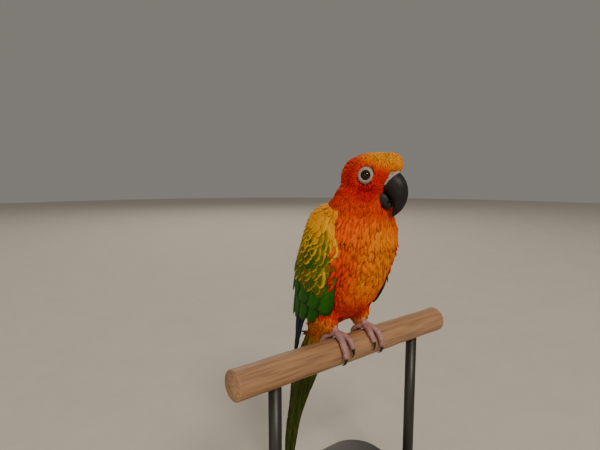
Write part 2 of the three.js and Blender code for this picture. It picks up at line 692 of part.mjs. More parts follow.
function standRod(side) {
  const top = PERCH_HEIGHT;
  const rod = new THREE.CylinderGeometry(ROD.radius, ROD.radius, top - BASE.thick - GAP, ROD.sides);
  rod.rotateX(Math.PI / 2).translate((side * ROD.apart) / 2, 0, (top + BASE.thick + GAP) / 2 - PERCH_HEIGHT);
  const room = new THREE.CylinderGeometry(PERCH.radius + GAP, PERCH.radius + GAP, PERCH.length, PERCH.sides);
  return without(solidOf(rod), solidOf(room.rotateZ(Math.PI / 2)));
}

function standBase() {
  const half = { x: BASE.length / 2 - BASE.bevel, y: BASE.width / 2 - BASE.bevel };
  const corner = BASE.corner - BASE.bevel;
  const outline = new THREE.Shape();
  outline.absarc(half.x - corner, half.y - corner, corner, 0, Math.PI / 2);
  outline.absarc(corner - half.x, half.y - corner, corner, Math.PI / 2, Math.PI);
  outline.absarc(corner - half.x, corner - half.y, corner, Math.PI, Math.PI * 1.5);
  outline.absarc(half.x - corner, corner - half.y, corner, Math.PI * 1.5, Math.PI * 2);
  const plate = new THREE.ExtrudeGeometry(outline, {
    depth: BASE.thick - 2 * BASE.bevel,
    bevelSize: BASE.bevel,
    bevelThickness: BASE.bevel,
    bevelSegments: 1,
    curveSegments: 4,
  });
  return solidOf(plate.translate(0, 0, BASE.bevel));
}

// Assembly
const bird = new THREE.Group();
bird.position.set(0, -PERCH_AHEAD, PERCH_HEIGHT);
const add = (name, solid, look) => bird.add(nodeOf(name, solid, look));

const inHead = headPieces();
const placed = (solid) => moved(solid, headPlace);
const trunkRoom = trunk(GAP);
const tailRoom = tailSlab({ from: 0, to: 0.5, over: 2.1 + GAP, under: -2.6 - GAP, wider: 2 * GAP }, 9, 4);
const thighRoom = thigh(1, GAP);
const wing = {};
for (const name of Object.keys(WING_LAYERS)) {
  wing[name] = without(wingSolid(name), trunkRoom, thighRoom, tailRoom);
}

// Head, neck and torso are one skin, parted by two thin cuts.
const skinRooms = [...inHead.rooms.map(placed), tailRoom, shankRoom(1), shankRoom(-1)];
const skin = without(trunk().add(placed(skull())), ...skinRooms);
const headAndNeck = trunkPart(skin, CUTS.shoulders, true);

add("head", trunkPart(skin, CUTS.nape, true), material.faceFeathers);
add("neck", trunkPart(headAndNeck, CUTS.nape, false), material.faceFeathers);
add("torso", trunkPart(skin, CUTS.shoulders, false), material.breastFeathers);
add("cere", placed(inHead.cere), material.bareSkin);
add("bill_upper", placed(inHead.upper), material.bill);
add("bill_lower", placed(inHead.lower), material.bill);
add("tail", tailSolid(), material.tailFeathers);
add("perch", perch(), material.perchWood);

for (const [name, side] of Object.entries(SIDES)) {
  add("eye_" + name, placed(onSide(inHead.eye, side)), material.eye);
  add("eye_ring_" + name, placed(onSide(inHead.ring, side)), material.bareSkin);
  add("wing_coverts_" + name, onSide(wing.coverts, side), material.wingCoverts);
  add("wing_secondaries_" + name, onSide(wing.secondaries, side), material.wingGreen);
  add("wing_primaries_" + name, onSide(wing.primaries, side), material.wingDark);
  add("thigh_" + name, without(thigh(side), trunkRoom, shankRoom(side)), material.thighFeathers);
  add("foot_" + name, foot(side), material.footSkin);
  for (const toe of TOES) add("claw_" + toe.name + "_" + name, claw(side, toe), material.claw);
  add("stand_rod_" + name, standRod(side), material.stand);
}

const model = new THREE.Group();
model.add(bird);
model.add(nodeOf("stand_base", standBase(), material.stand));
export default model;
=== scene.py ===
"""Dresses a still, life-size model of a perched sun conure: skin, plumage, bill, eyes, feet, perch, stand.

Lengths in this file are millimetres in the bird's own frame: the perch's middle is the origin, the bird
looks along -Y, its left side is +X and +Z is up. Meshes are written in metres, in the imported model's frame.
"""

import math
from functools import partial

import bpy
import numpy as np
from mathutils import Matrix, Vector
from mathutils.kdtree import KDTree


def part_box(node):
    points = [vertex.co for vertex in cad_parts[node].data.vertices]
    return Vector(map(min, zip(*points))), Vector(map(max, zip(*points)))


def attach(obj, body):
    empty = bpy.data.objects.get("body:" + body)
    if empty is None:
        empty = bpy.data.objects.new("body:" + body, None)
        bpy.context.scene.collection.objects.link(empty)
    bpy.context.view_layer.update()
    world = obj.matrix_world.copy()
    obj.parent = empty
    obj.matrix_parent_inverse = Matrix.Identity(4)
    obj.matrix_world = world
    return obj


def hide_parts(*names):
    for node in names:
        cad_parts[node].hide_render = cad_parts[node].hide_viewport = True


bl_info = {
    "name": "Perched Conure",
    "version": (1, 0, 0),
    "blender": (4, 5, 0),
    "location": "3D View > Sidebar > Conure",
    "description": "Builds the plumage, head, feet, perch and stand of a life-size sun conure",
    "category": "Add Mesh",
}

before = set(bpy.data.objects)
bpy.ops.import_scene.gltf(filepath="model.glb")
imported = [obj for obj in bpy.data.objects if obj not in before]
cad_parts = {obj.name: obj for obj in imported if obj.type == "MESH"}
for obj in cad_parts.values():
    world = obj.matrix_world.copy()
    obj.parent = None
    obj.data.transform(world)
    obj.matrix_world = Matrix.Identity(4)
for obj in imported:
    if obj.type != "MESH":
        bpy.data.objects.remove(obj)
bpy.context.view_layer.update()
BODY = "root"
MM = 0.001
SIDES = {"left": 1, "right": -1}
LEFT = np.array((1.0, 0.0, 0.0))

PERCH_LOW, PERCH_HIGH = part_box("perch")
PERCH_MIDDLE = np.array((PERCH_LOW + PERCH_HIGH) / 2) / MM
PERCH_RADIUS = (PERCH_HIGH.z - PERCH_LOW.z) / 2 / MM
PERCH_LENGTH = (PERCH_HIGH.x - PERCH_LOW.x) / MM
GAP = 0.3

# Trunk, from the root of the tail up into the head: y, z, half width, depth to breast, depth to spine
TRUNK = (
    (35.5, 1, 8, 5.5, 4.5),
    (29, 14, 14, 12, 8.5),
    (21.5, 30.5, 21, 22, 14),
    (11.5, 49, 27, 28.5, 18),
    (2.5, 68, 28.5, 28, 20),
    (-3, 83.5, 26.5, 25, 19),
    (-7.5, 95, 20.5, 19.5, 17),
    (-10, 104, 16, 15.5, 15),
    (-11.5, 111, 12, 12, 11),
)
# Head, from the nape to the forehead: height up, height down, half width, way forward, forward lean
HEAD = {"y": -11.5, "z": 110, "yaw": 13, "pitch": 8}
SKULL = (
    (3, 3, 3, -16, 0),
    (8.5, 8, 7.8, -14, 0),
    (13.2, 12.5, 12.2, -8.5, 0),
    (16.6, 15.5, 14.2, 0, 0.02),
    (17.4, 15.5, 13.4, 7.5, 0.14),
    (16.4, 13.6, 10.8, 12.6, 0.3),
    (12.8, 11, 8.4, 15.4, 0.4),
    (8.6, 8.2, 6.4, 16.4, 0.44),
)
EYE = {"forward": 4.8, "up": 3, "side": 13.3, "ball": 4.6, "opening": 2.95, "ring": 5.35, "bulge": 1.2}
BILL_BASE = 14.6
# Bill, along each horn's middle line: way forward, height, half width, half height
UPPER_BILL = (
    (-3.6, 0.8, 6.7, 6.8),
    (1, 0.8, 6.6, 7),
    (5, -1.6, 5.9, 6.5),
    (7.6, -6.2, 4.5, 5.3),
    (8, -11.6, 2.9, 3.6),
    (6.8, -16.2, 1.3, 1.8),
    (5.6, -19, 0.4, 0.5),
)
LOWER_BILL = (
    (-7, -8.4, 6.6, 5),
    (-2.5, -9.8, 6.3, 4.8),
    (0.6, -11.8, 5.2, 3.8),
    (2.8, -12.8, 3.8, 2.4),
    (4.2, -12.6, 2.3, 1.1),
)
# Legs. A toe: name, 1 if it grips the front, way aside, length, half thickness, claw
LEG_APART = 26
FOOT = {"y": 1.5, "spread": 5.4, "shank": 2.5, "over": 2.2}
ANKLE = (1.5, 10, 27)
TOES = (
    ("inner_front", 1, -0.62, 15.5, 2.15, 6.4),
    ("outer_front", 1, 0.62, 20, 2.3, 7),
    ("outer_back", -1, 0.55, 17.5, 2.2, 6.6),
    ("inner_back", -1, -0.5, 11, 2.0, 6),
)
# Thigh, from the flank down: way out, y, z, half width, half depth
THIGH = (
    (-2.5, 11, 44, 9, 11),
    (-0.5, 11, 33, 9.4, 11),
    (0.8, 10.2, 22, 8.4, 9.4),
    (1, 8.4, 14.8, 6, 6.4),
    (0.8, 7.2, 12.4, 4.2, 4.4),
)
# The bed that the folded wings lie on, from the shoulder down, written as the trunk is
WING_BED = (
    (-6, 92, 23, 17, 18),
    (-2, 82, 28.6, 24, 22.5),
    (4, 66, 30, 27.5, 23.5),
    (12, 49, 29.5, 28, 22.5),
    (21, 31, 25.5, 24, 19.5),
    (30, 13.5, 20, 15.5, 15),
    (37.5, -6, 15, 10, 11),
    (44.5, -26, 12, 6, 8.5),
    (51, -48, 10, 4, 6),
)
# Edges of the folded wing: share along the bed, degrees round it at the breast's side and the spine's side
WING_EDGES = (
    (0, 84, 122),
    (0.06, 68, 146),
    (0.16, 60, 160),
    (0.3, 51, 168),
    (0.47, 42, 171),
    (0.62, 84, 172),
    (0.8, 104, 168),
    (1, 132, 160),
)
# Tail, from the rump down: y, z, half width
TAIL = (
    (33, 6, 7),
    (42.5, -14, 12),
    (51, -35, 14),
    (58, -60, 12),
    (64, -87, 8.5),
    (70, -127.2, 4),
)
TAIL_ARCH = 0.007


# Shapes

def spline(points):
    """A smooth centripetal curve through the points, called with shares from 0 to 1."""
    p = np.asarray(points, float)
    padded = np.vstack([2 * p[0] - p[1], p, 2 * p[-1] - p[-2]])
    steps = np.maximum(np.linalg.norm(np.diff(padded, axis=0), axis=1), 1e-6) ** 0.5

    def at(share):
        t = np.clip(np.asarray(share, float), 0, 1) * (len(p) - 1)
        k = np.minimum(t.astype(int), len(p) - 2)
        w = (t - k)[..., None]
        x0, x1, x2, x3 = (padded[k + i] for i in range(4))
        d0, d1, d2 = (steps[k + i][..., None] for i in range(3))
        m1 = ((x1 - x0) / d0 - (x2 - x0) / (d0 + d1) + (x2 - x1) / d1) * d1
        m2 = ((x2 - x1) / d1 - (x3 - x1) / (d1 + d2) + (x3 - x2) / d2) * d1
        bend = -3 * x1 + 3 * x2 - 2 * m1 - m2
        return x1 + m1 * w + bend * w**2 + (2 * x1 - 2 * x2 + m1 + m2) * w**3

    return at


def unit(vectors):
    """The vectors at length 1."""
    return vectors / np.maximum(np.linalg.norm(vectors, axis=-1, keepdims=True), 1e-9)


def ease(low, high, value):
    """0 below low and 1 above high, with a soft step between. The two may be the other way round."""
    share = np.clip((value - low) / (high - low), 0, 1)
    return share * share * (3 - 2 * share)


def lerp(a, b, share):
    """The value at a share of the way from a to b."""
    return a + (b - a) * share


def turns(count):
    """Angles once round, in a row."""
    return np.linspace(0, 2 * np.pi, count, endpoint=False)[None, :]


def metres(points):
    """Points of the bird's frame in the model's, in metres."""
    return (points + PERCH_MIDDLE) * MM


class Line:
    """A curve that is also measured along its length."""

    def __init__(self, points):
        self.at = spline(points)
        self.shares = np.linspace(0, 1, 401)
        steps = np.linalg.norm(np.diff(self.at(self.shares), axis=0), axis=1)
        self.runs = np.concatenate([[0], np.cumsum(steps)])

    def share(self, along):
        return np.interp(np.asarray(along, float) * self.runs[-1], self.runs, self.shares)

    def tangent(self, share):
        near = 1e-3
        ahead = self.at(np.clip(share + near, 0, 1))
        return unit(ahead - self.at(np.clip(share - near, 0, 1)))

    def nearest(self, points, shares):
        """The index of the share that lies nearest to each point, seen from the side."""
        line = self.at(shares)
        return ((points[:, None, 1:] - line[None, :, 1:]) ** 2).sum(-1).argmin(1)


class Form(Line):
    """Cross-sections along a line in the middle plane. Angle 0 is the breast and pi the spine."""

    def __init__(self, stations, climbs=1):
        table = np.array(stations, float)
        super().__init__(np.column_stack([table[:, 0] * 0, table[:, 0], table[:, 1]]))
        self.sizes = spline(table[:, 2:5])
        self.climbs = climbs

    def point(self, share, angle, proud=0.0):
        """A point of the surface, raised by the millimetres in proud."""
        share, angle, proud = np.broadcast_arrays(share, angle, proud)
        up = self.tangent(share) * self.climbs
        back = np.stack([up[..., 0] * 0, up[..., 2], -up[..., 1]], -1)
        wide, front, rear = np.moveaxis(self.sizes(share), -1, 0)
        deep = np.where(np.cos(angle) > 0, front, rear)
        out = LEFT * (np.sin(angle) * (wide + proud))[..., None]
        return self.at(share) + out - back * (np.cos(angle) * (deep + proud))[..., None]

    def around(self, points, share):
        """The angle of each point round the form at its share. Both sides are alike."""
        across = points - self.at(share)
        up = self.tangent(share) * self.climbs
        back = across[:, 1] * up[:, 2] - across[:, 2] * up[:, 1]
        wide, front, rear = self.sizes(share).T
        return np.arctan2(np.abs(across[:, 0]) / wide, -back / np.where(back < 0, front, rear))


trunk_form = Form(TRUNK)
bed_form = Form(WING_BED, climbs=-1)
tail_line = Line([(0, y, z) for y, z, _ in TAIL])
tail_width = spline([(wide, 0, 0) for _, _, wide in TAIL])
EDGE_TABLE = spline(WING_EDGES)(np.linspace(0, 1, 200))


def turn(axis, angle):
    """A turn matrix about an axis by an angle in degrees."""
    return np.array(Matrix.Rotation(math.radians(angle), 3, axis))


HEAD_TURN = turn("Z", HEAD["yaw"]) @ turn("X", HEAD["pitch"])
HEAD_PLACE = np.array((0, HEAD["y"], HEAD["z"]))
EYE_PLACE = np.array((EYE["side"], -EYE["forward"], EYE["up"]))


def from_head(points):
    """Points of the head's own frame in the bird's frame."""
    return points @ HEAD_TURN.T + HEAD_PLACE


def to_head(points):
    """Points of the bird's frame in the head's own frame."""
    return (points - HEAD_PLACE) @ HEAD_TURN


def edges_at(along):
    """The wing's edges, in degrees round the bed, at a share along it."""
    return (np.interp(along, EDGE_TABLE[:, 0], EDGE_TABLE[:, k]) for k in (1, 2))


def bed_width(along):
    """The half width of the wing's bed at a share along it."""
    return bed_form.sizes(bed_form.share(along))[..., 0]


def on_bed(along, around, aside, over):
    """A point over the left wing's bed: degrees round it, millimetres aside and millimetres over."""
    turned = np.radians(around) + aside / np.maximum(bed_width(along), 6)
    return bed_form.point(bed_form.share(along), turned, over)


def on_tail(along, aside, over):
    """A point over the tail's line."""
    share = tail_line.share(along)
    down = tail_line.tangent(share)
    outward = np.stack([down[..., 0] * 0, -down[..., 2], down[..., 1]], -1)
    lift = np.asarray(over - TAIL_ARCH * aside * aside)[..., None]
    return tail_line.at(share) + LEFT * np.asarray(aside)[..., None] + outward * lift


def closed_tube(rings, ends=True):
    """Points and faces of a tube through the rings, its faces pointing out. It is closed at both ends, or
    without ends its last ring joins its first."""
    index = np.arange(rings.shape[0] * rings.shape[1]).reshape(rings.shape[:2])
    first, second = (index[:-1], index[1:]) if ends else (index, np.roll(index, -1, axis=0))
    quads = np.stack([first, np.roll(first, -1, axis=1), np.roll(second, -1, axis=1), second], -1)
    quads = quads.reshape(-1, 4)
    points = rings.reshape(-1, 3)
    a, b, c, d = (points[quads[:, k]] - points.mean(0) for k in range(4))
    volume = (np.cross(a, b) * c).sum() + (np.cross(a, c) * d).sum()
    faces = quads.tolist()
    if ends:
        faces += [index[0][::-1].tolist(), index[-1].tolist()]
    return points, faces if volume > 0 else [face[::-1] for face in faces]


def placed(name, data):
    """A new object in the scene."""
    obj = bpy.data.objects.new(name, data)
    bpy.context.scene.collection.objects.link(obj)
    return obj


def read(rows, key, width, kind=np.float32):
    """What each row of a mesh's data holds under a key."""
    values = np.empty(len(rows) * width, kind)
    rows.foreach_get(key, values)
    return values.reshape(-1, width)


def write_colours(mesh, name, colours):
    """Writes a colour for each point."""
    layer = mesh.color_attributes.new(name=name, type="FLOAT_COLOR", domain="POINT")
    values = np.ones((len(colours), 4), np.float32)
    values[:, :3] = colours
    layer.data.foreach_set("color", values.ravel())


MAPS = ("vane", "OFBake")


class Piece:
    """Gathers closed forms into one mesh, with values that each point carries."""

    def __init__(self):
        self.points, self.faces, self.values, self.count = [], [], {}, 0

    def add(self, points, faces, **values):
        self.faces += [[corner + self.count for corner in face] for face in faces]
        self.points.append(points)
        self.count += len(points)
        for name, value in values.items():
            whole = np.broadcast_to(value, (len(points), np.shape(value)[-1]))
            self.values.setdefault(name, []).append(whole)

    def build(self, name, material):
        """The finished object. Values with a name in MAPS become UV maps, and the others colours."""
        mesh = bpy.data.meshes.new(name)
        mesh.from_pydata(metres(np.vstack(self.points)).tolist(), [], self.faces)
        corners = read(mesh.loops, "vertex_index", 1, np.int32)[:, 0]
        for key, parts in self.values.items():
            value = np.vstack(parts)
            if key in MAPS:
                layer = mesh.uv_layers.new(name=key)
                layer.data.foreach_set("uv", value[corners].astype(np.float32).ravel())
            else:
                write_colours(mesh, key, value)
        mesh.shade_smooth()
        mesh.materials.append(material)
        return placed(name, mesh)


def tube_piece(name, rings, material, **values):
    """A piece made of one closed tube."""
    piece = Piece()
    piece.add(*closed_tube(rings), **values)
    return piece.build(name, material)


def finish_piece(obj, slot, *nodes):
    """Fixes a finished piece to the body and hides the nodes that it stands for. The slot is not used."""
    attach(obj, BODY)
    if nodes:
        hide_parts(*nodes)


# What a user would change

def linear(code):
    """A colour written as a hex code, in linear light."""
    parts = [int(code[k:k + 2], 16) / 255 for k in (0, 2, 4)]
    return tuple(c / 12.92 if c <= 0.04045 else ((c + 0.055) / 1.055) ** 2.4 for c in parts)


def colour_prop(name, description, code):
    """A colour that a user may change."""
    return bpy.props.FloatVectorProperty(
        name=name, description=description, subtype="COLOR", size=3, min=0, max=1, default=linear(code)
    )


def length_prop(name, description, default):
    """A length in millimetres that a user may change."""
    return bpy.props.FloatProperty(name=name, description=description, default=default, min=0.05)


class ConureColours(bpy.types.PropertyGroup):
    """Colours of the bird, its perch and its stand."""

    forehead: colour_prop("Forehead", "Front of the crown", "FFA200")
    crown: colour_prop("Crown", "Top of the head", "F65000")
    face: colour_prop("Face", "Round the eye and over the ear", "E42200")
    cheek: colour_prop("Cheek", "Below the eye", "C20800")
    throat: colour_prop("Throat", "Under the bill", "CC1E00")
    nape: colour_prop("Nape", "Back of the neck", "CE4200")
    breast: colour_prop("Breast", "Breast", "FA6600")
    # Painted highlight: a lighter, yellower orange laid on the front of the breast, where the light falls
    breast_highlight: colour_prop("Breast lights", "Yellow lights on the breast", "FF9200")
    flank: colour_prop("Flank", "Flanks and lower belly", "E62600")
    thigh: colour_prop("Thigh", "Thighs and vent", "F08400")
    mantle: colour_prop("Mantle", "Back and shoulders", "F29A00")
    rump: colour_prop("Rump", "Lower back and rump", "EC9E00")
    yellow: colour_prop("Coverts", "Edges of the wing's small feathers", "FCC400")
    green: colour_prop("Wing green", "Long feathers of the wing", "2A6E0C")
    leaf: colour_prop("Leaf green", "Outer edges of the wing's long feathers", "84AE0C")
    deep_green: colour_prop("Dark green", "Centres of the wing's small feathers", "1C4A16")
    blue: colour_prop("Blue black", "Ends of the flight feathers", "10233F")
    olive: colour_prop("Tail", "Tail feathers", "6B7A22")
    dusk: colour_prop("Tail edges", "Edges and ends of the tail feathers", "2B3A1E")
    bare: colour_prop("Bare skin", "Skin round the eye, and the cere", "ADA299")
    horn: colour_prop("Bill", "Bill", "1F1C1D")
    iris: colour_prop("Iris", "Ring round the pupil", "2A1208")
    foot: colour_prop("Feet", "Toes and shanks", "BE8F8C")
    claw: colour_prop("Claws", "Claws", "2B2422")
    wood: colour_prop("Perch", "Wood of the perch", "B08560")
    paint: colour_prop("Stand", "Paint of the stand", "2B2927")
    floor: colour_prop("Floor", "Floor under the stand", "D2CBC1")


class ConureSizes(bpy.types.PropertyGroup):
    """Sizes of the coat, in millimetres."""

    depth: length_prop("Coat depth", "How far the skin lies inside the coat's surface on the breast", 1.9)
    plume: length_prop("Plume length", "Length of a plume on the breast", 9.5)
    spacing: length_prop("Plume spacing", "Distance between the roots of plumes on the breast", 0.98)
    seed: bpy.props.IntProperty(name="Seed", description="Seed of every random draw", default=7, min=0)


def colour(name):
    """A colour of the settings, as an array."""
    return np.array(getattr(bpy.context.scene.conure_colours, name))


def sizes():
    """The settings' sizes."""
    return bpy.context.scene.conure_sizes


def draws(salt):
    """A source of random numbers of its own for each piece."""
    return np.random.default_rng(sizes().seed * 1000 + salt)


# Markings and lie of the coat

# Places in the head's frame: the middle and the reach of two patches, and where the plumage starts
CHEEK = ((11, -8.5, -5), (7, 8, 7))
CHIN = ((0, -8, -14), (11, 9, 6))
LIE_START = np.array((0, -16.5, -1.5))
FINEST = np.array((0, -15, -2))


def trunk_place(points):
    """The share up the trunk and the angle round it, 0 at the breast and pi at the spine, of each point."""
    shares = np.linspace(0, 1, 120)
    share = shares[trunk_form.nearest(points, shares)]
    return share, trunk_form.around(points, share)


def distance_to_trunk(points):
    """How far each point lies outside the trunk, in millimetres."""
    share, angle = trunk_place(points)
    surface = trunk_form.point(share, angle)
    middle = trunk_form.at(share)
    return np.linalg.norm(folded(points) - middle, axis=1) - np.linalg.norm(surface - middle, axis=1)


def folded(points):
    """The points, with those of the right side mirrored to the left."""
    return np.column_stack([np.abs(points[:, 0]), points[:, 1:]])


def on_legs(points, top, inner=5):
    """True for points on either leg below a height."""
    return (np.abs(points[:, 0]) > inner) & (points[:, 2] < top)


def spot(points, middle, reach):
    """1 within a rounded place in the head's frame, falling to 0 at its reach. Both sides are alike."""
    return ease(1, 0.5, np.linalg.norm((folded(points) - middle) / reach, axis=1))


def tinted(tone, name, amount):
    """A tone with one of the settings' colours laid over it, by an amount for each point."""
    return lerp(tone, colour(name), amount[:, None])


def markings(points):
    """The plumage's colour at each point of head, neck, trunk and thighs, laid on from below to above, with a
    painted highlight on the front of the breast.
    """
    local = to_head(points)
    behind, above = local[:, 1], local[:, 2]
    height = points[:, 2]
    _, angle = trunk_place(points)
    back = ease(1.75, 2.25, angle)
    on_head = ease(97, 104, height + 0.1 * behind)
    off_trunk = ease(1.2, 3.2, distance_to_trunk(points))
    layers = (
        # Painted highlight on the front of the breast, which faces the light
        ("breast_highlight", ease(1.0, 0.15, angle) * ease(36, 56, height) * ease(96, 82, height) * 0.85),
        ("flank", ease(0.4, 0.95, angle) * ease(80, 54, height) * ease(8, 20, height) * 0.95),
        ("flank", ease(46, 30, height) * ease(6, 18, height) * (1 - back) * 0.75),
        ("throat", ease(82, 97, height) * (1 - back) * 0.62),
        ("mantle", back * ease(94, 80, height)),
        ("rump", back * ease(50, 30, height)),
        ("thigh", ease(22, 12, height) * ease(2, 12, points[:, 1])),
        ("nape", back * ease(78, 92, height)),
        ("face", on_head),
        ("crown", on_head * ease(3, 12, above) * ease(9, -4, behind)),
        ("nape", on_head * ease(4, 15, behind) * ease(12, -2, above) * 0.8),
        ("forehead", ease(5, 13, above - 0.22 * behind - 2) * ease(2, -7, behind)),
        ("cheek", spot(local, *CHEEK) * 0.9),
        ("throat", spot(local, *CHIN) * 0.8),
        ("thigh", ease(30, 23, height) * on_legs(points, 40, 6) * off_trunk),
    )
    tone = np.tile(colour("breast"), (len(points), 1))
    for name, amount in layers:
        tone = tinted(tone, name, amount)
    return tone


def lie_of(points, normals):
    """The way the plumage lies at each point, along the skin."""
    local = to_head(points)
    height = points[:, 2]
    share, _ = trunk_place(points)
    down = -trunk_form.tangent(share)
    down[:, 0] -= 0.12 * np.sign(points[:, 0]) * ease(60, 30, height)
    from_bill = local - LIE_START
    from_bill[:, 1] = np.maximum(from_bill[:, 1], 0.5)
    on_head = ease(92, 108, height + 0.25 * local[:, 1])[:, None]
    lie = lerp(down, unit(from_bill) @ HEAD_TURN.T, on_head)
    round_eye = local - EYE_PLACE * np.where(local[:, :1] < 0, (-1, 1, 1), 1)
    near = ease(10, 5.5, np.linalg.norm(round_eye, axis=1)) * 0.8
    lie += near[:, None] * (unit(round_eye) @ HEAD_TURN.T)
    lie += on_legs(points, 36)[:, None] * np.array((0, -0.1, -1.2))
    return unit(lie - normals * (lie * normals).sum(-1, keepdims=True))


def coat_scale(points):
    """How large the plumes are at each point, as a share of those on the breast."""
    local = to_head(points)
    height = points[:, 2]
    from_bill = np.linalg.norm(local - FINEST, axis=1)
    from_eye = np.linalg.norm(folded(local) - (EYE_PLACE - LEFT), axis=1)
    small = np.minimum(lerp(0.24, 0.6, ease(5, 28, from_bill)), lerp(0.25, 0.6, ease(5, 14, from_eye)))
    scale = lerp(lerp(1.0, 0.62, ease(84, 99, height)), small, ease(96, 104, height))
    on_thigh = np.minimum(scale, lerp(0.42, 0.85, ease(12, 32, height)))
    return np.where(on_legs(points, 40), on_thigh, scale)


# Finishes

class Nodes:
    """Short ways to add nodes to a tree."""

    def __init__(self, tree):
        self.tree = tree

    def add(self, kind, settings=(), **inputs):
        node = self.tree.nodes.new(kind)
        for key, value in settings:
            setattr(node, key, value)
        for key, value in inputs.items():
            self.feed(node.inputs[key.replace("_", " ")], value)
        return node

    def feed(self, socket, value):
        if isinstance(value, bpy.types.NodeSocket):
            self.tree.links.new(value, socket)
        else:
            socket.default_value = value


class Finish(Nodes):
    """A material with its shader's even values set, and short ways to add its nodes."""

    def __init__(self, name, roughness, **sockets):
        self.material = bpy.data.materials.new(name)
        self.material.use_nodes = True
        super().__init__(self.material.node_tree)
        self.shader = self.tree.nodes["Principled BSDF"].inputs
        for key, value in {"Roughness": roughness, **sockets}.items():
            self.shader[key.replace("_", " ")].default_value = value

    def math(self, operation, a, b=0.0):
        node = self.add("ShaderNodeMath", (("operation", operation),))
        self.feed(node.inputs[0], a)
        self.feed(node.inputs[1], b)
        return node.outputs[0]

    def both(self, a, much_a, b, much_b):
        """Two values together, each by so much."""
        return self.math("ADD", self.math("MULTIPLY", a, much_a), self.math("MULTIPLY", b, much_b))

    def ramp(self, value, *stops):
        """A colour ramp: each stop is a place and a grey value or a colour."""
        node = self.add("ShaderNodeValToRGB", Fac=value)
        elements = node.color_ramp.elements
        while len(elements) < len(stops):
            elements.new(0.5)
        for element, (place, tone) in zip(elements, stops):
            element.position = place
            element.color = (*([tone] * 3 if np.isscalar(tone) else tone), 1)
        return node.outputs["Color"]

    def attribute(self, name):
        return self.add("ShaderNodeAttribute", (("attribute_name", name),)).outputs["Color"]

    def place(self):
        return self.add("ShaderNodeTexCoord").outputs["Object"]

    def noise(self, scale, detail=3.0, where=None, **inputs):
        inputs = {"Vector": where or self.place(), "Scale": scale, "Detail": detail, **inputs}
        return self.add("ShaderNodeTexNoise", **inputs).outputs["Fac"]

    def paint(self, tone, *shades):
        """Gives the shader a tone, multiplied by each shade."""
        for shade in shades:
            node = self.add("ShaderNodeMix", (("data_type", "RGBA"), ("blend_type", "MULTIPLY")))
            for socket, value in ((0, 1.0), (6, tone), (7, shade)):
                self.feed(node.inputs[socket], value)
            tone = node.outputs[2]
        self.feed(self.shader["Base Color"], tone)

    def bump(self, height, strength, distance):
        node = self.add("ShaderNodeBump", Height=height, Strength=strength, Distance=distance)
        self.feed(self.shader["Normal"], node.outputs["Normal"])


def plumage_finish(name, barbs, roughness=0.7):
    """Plumage: the points' colours, a little uneven, with fine barbs slanting off each shaft."""
    finish = Finish(name, roughness, Specular_IOR_Level=0.16)
    vane = finish.add("ShaderNodeUVMap", (("uv_map", "vane"),)).outputs["UV"]
    parts = finish.add("ShaderNodeSeparateXYZ", Vector=vane).outputs
    aside = finish.math("MULTIPLY", finish.math("ABSOLUTE", parts["X"]), 0.8)
    slant = finish.math("SUBTRACT", parts["Y"], aside)
    barb = finish.math("SINE", finish.math("MULTIPLY", slant, barbs))
    uneven = finish.noise(260, 4)
    shade = finish.ramp(finish.both(barb, 0.08, uneven, 0.55), (0.1, 0.72), (0.3, 0.98), (0.5, 1.16))
    finish.paint(finish.attribute("plumage"), shade)
    finish.bump(finish.both(barb, 1.0, uneven, 1.5), 0.3, 0.00014)
    return finish.material


def skin_finish():
    """Down over the skin, in the coat's own colours, darkened unevenly as painted shade where it shows
    between the plumes.
    """
    finish = Finish("down", 0.9)
    fluff = finish.noise(900, 5)
    # Painted shade: the down darkened, in fluffy patches, where it shows between the plumes
    finish.paint(finish.attribute("plumage"), finish.ramp(fluff, (0.3, 0.7), (0.7, 1.0)))
    finish.bump(fluff, 0.6, 0.0004)
    return finish.material


def spotted_finish(name, tone, roughness, scale, depth, dark, light, **sockets):
    """A finish of one colour with soft patches, fine grain and a bump."""
    finish = Finish(name, roughness, **sockets)
    patches, grain = finish.noise(scale * 0.25, 4), finish.noise(scale, 5)
    shade = finish.ramp(finish.both(patches, 0.6, grain, 0.4), (0.35, dark), (0.65, light))
    finish.paint((*tone, 1), shade)
    finish.bump(grain, 0.5, depth)
    return finish.material


def bare_finish(name, roughness, scale, light):
    """Bare skin, which lets a little light through."""
    return spotted_finish(name, colour("bare"), roughness, scale, 0.00012, 0.8, light,
                          Subsurface_Weight=0.15, Subsurface_Radius=(0.0012, 0.0006, 0.0004))


def scaly_finish():
    """Scaly skin: small rounded plates, with painted shade darkening the creases between them."""
    finish = Finish("foot skin", 0.55, Subsurface_Weight=0.08, Subsurface_Radius=(0.002, 0.001, 0.0006))
    edges = (("feature", "DISTANCE_TO_EDGE"),)
    cells = finish.add("ShaderNodeTexVoronoi", edges, Vector=finish.place(), Scale=1300.0)
    # Painted shade: the creases between the plates darkened
    creases = finish.ramp(cells.outputs["Distance"], (0.0, 0.55), (0.12, 1.0), (1.0, 1.06))
    patches = finish.ramp(finish.noise(300), (0.35, 0.78), (0.65, 1.12))
    # The points' shade attribute is painted shade at the edges of the plates
    finish.paint((*colour("foot"), 1), creases, finish.attribute("shade"), patches)
    finish.bump(creases, 0.5, 0.00015)
    return finish.material


def horn_finish(name, tone, roughness):
    """Horn, mottled and finely scratched, with a low sheen."""
    finish = Finish(name, roughness, Specular_IOR_Level=0.35)
    both = finish.both(finish.noise(220, 5), 0.65, finish.noise(1500, 3), 0.35)
    finish.paint(finish.ramp(both, (0.38, tone * 0.6), (0.55, tone), (0.72, tone * 2.4)))
    finish.bump(both, 0.4, 0.0002)
    return finish.material


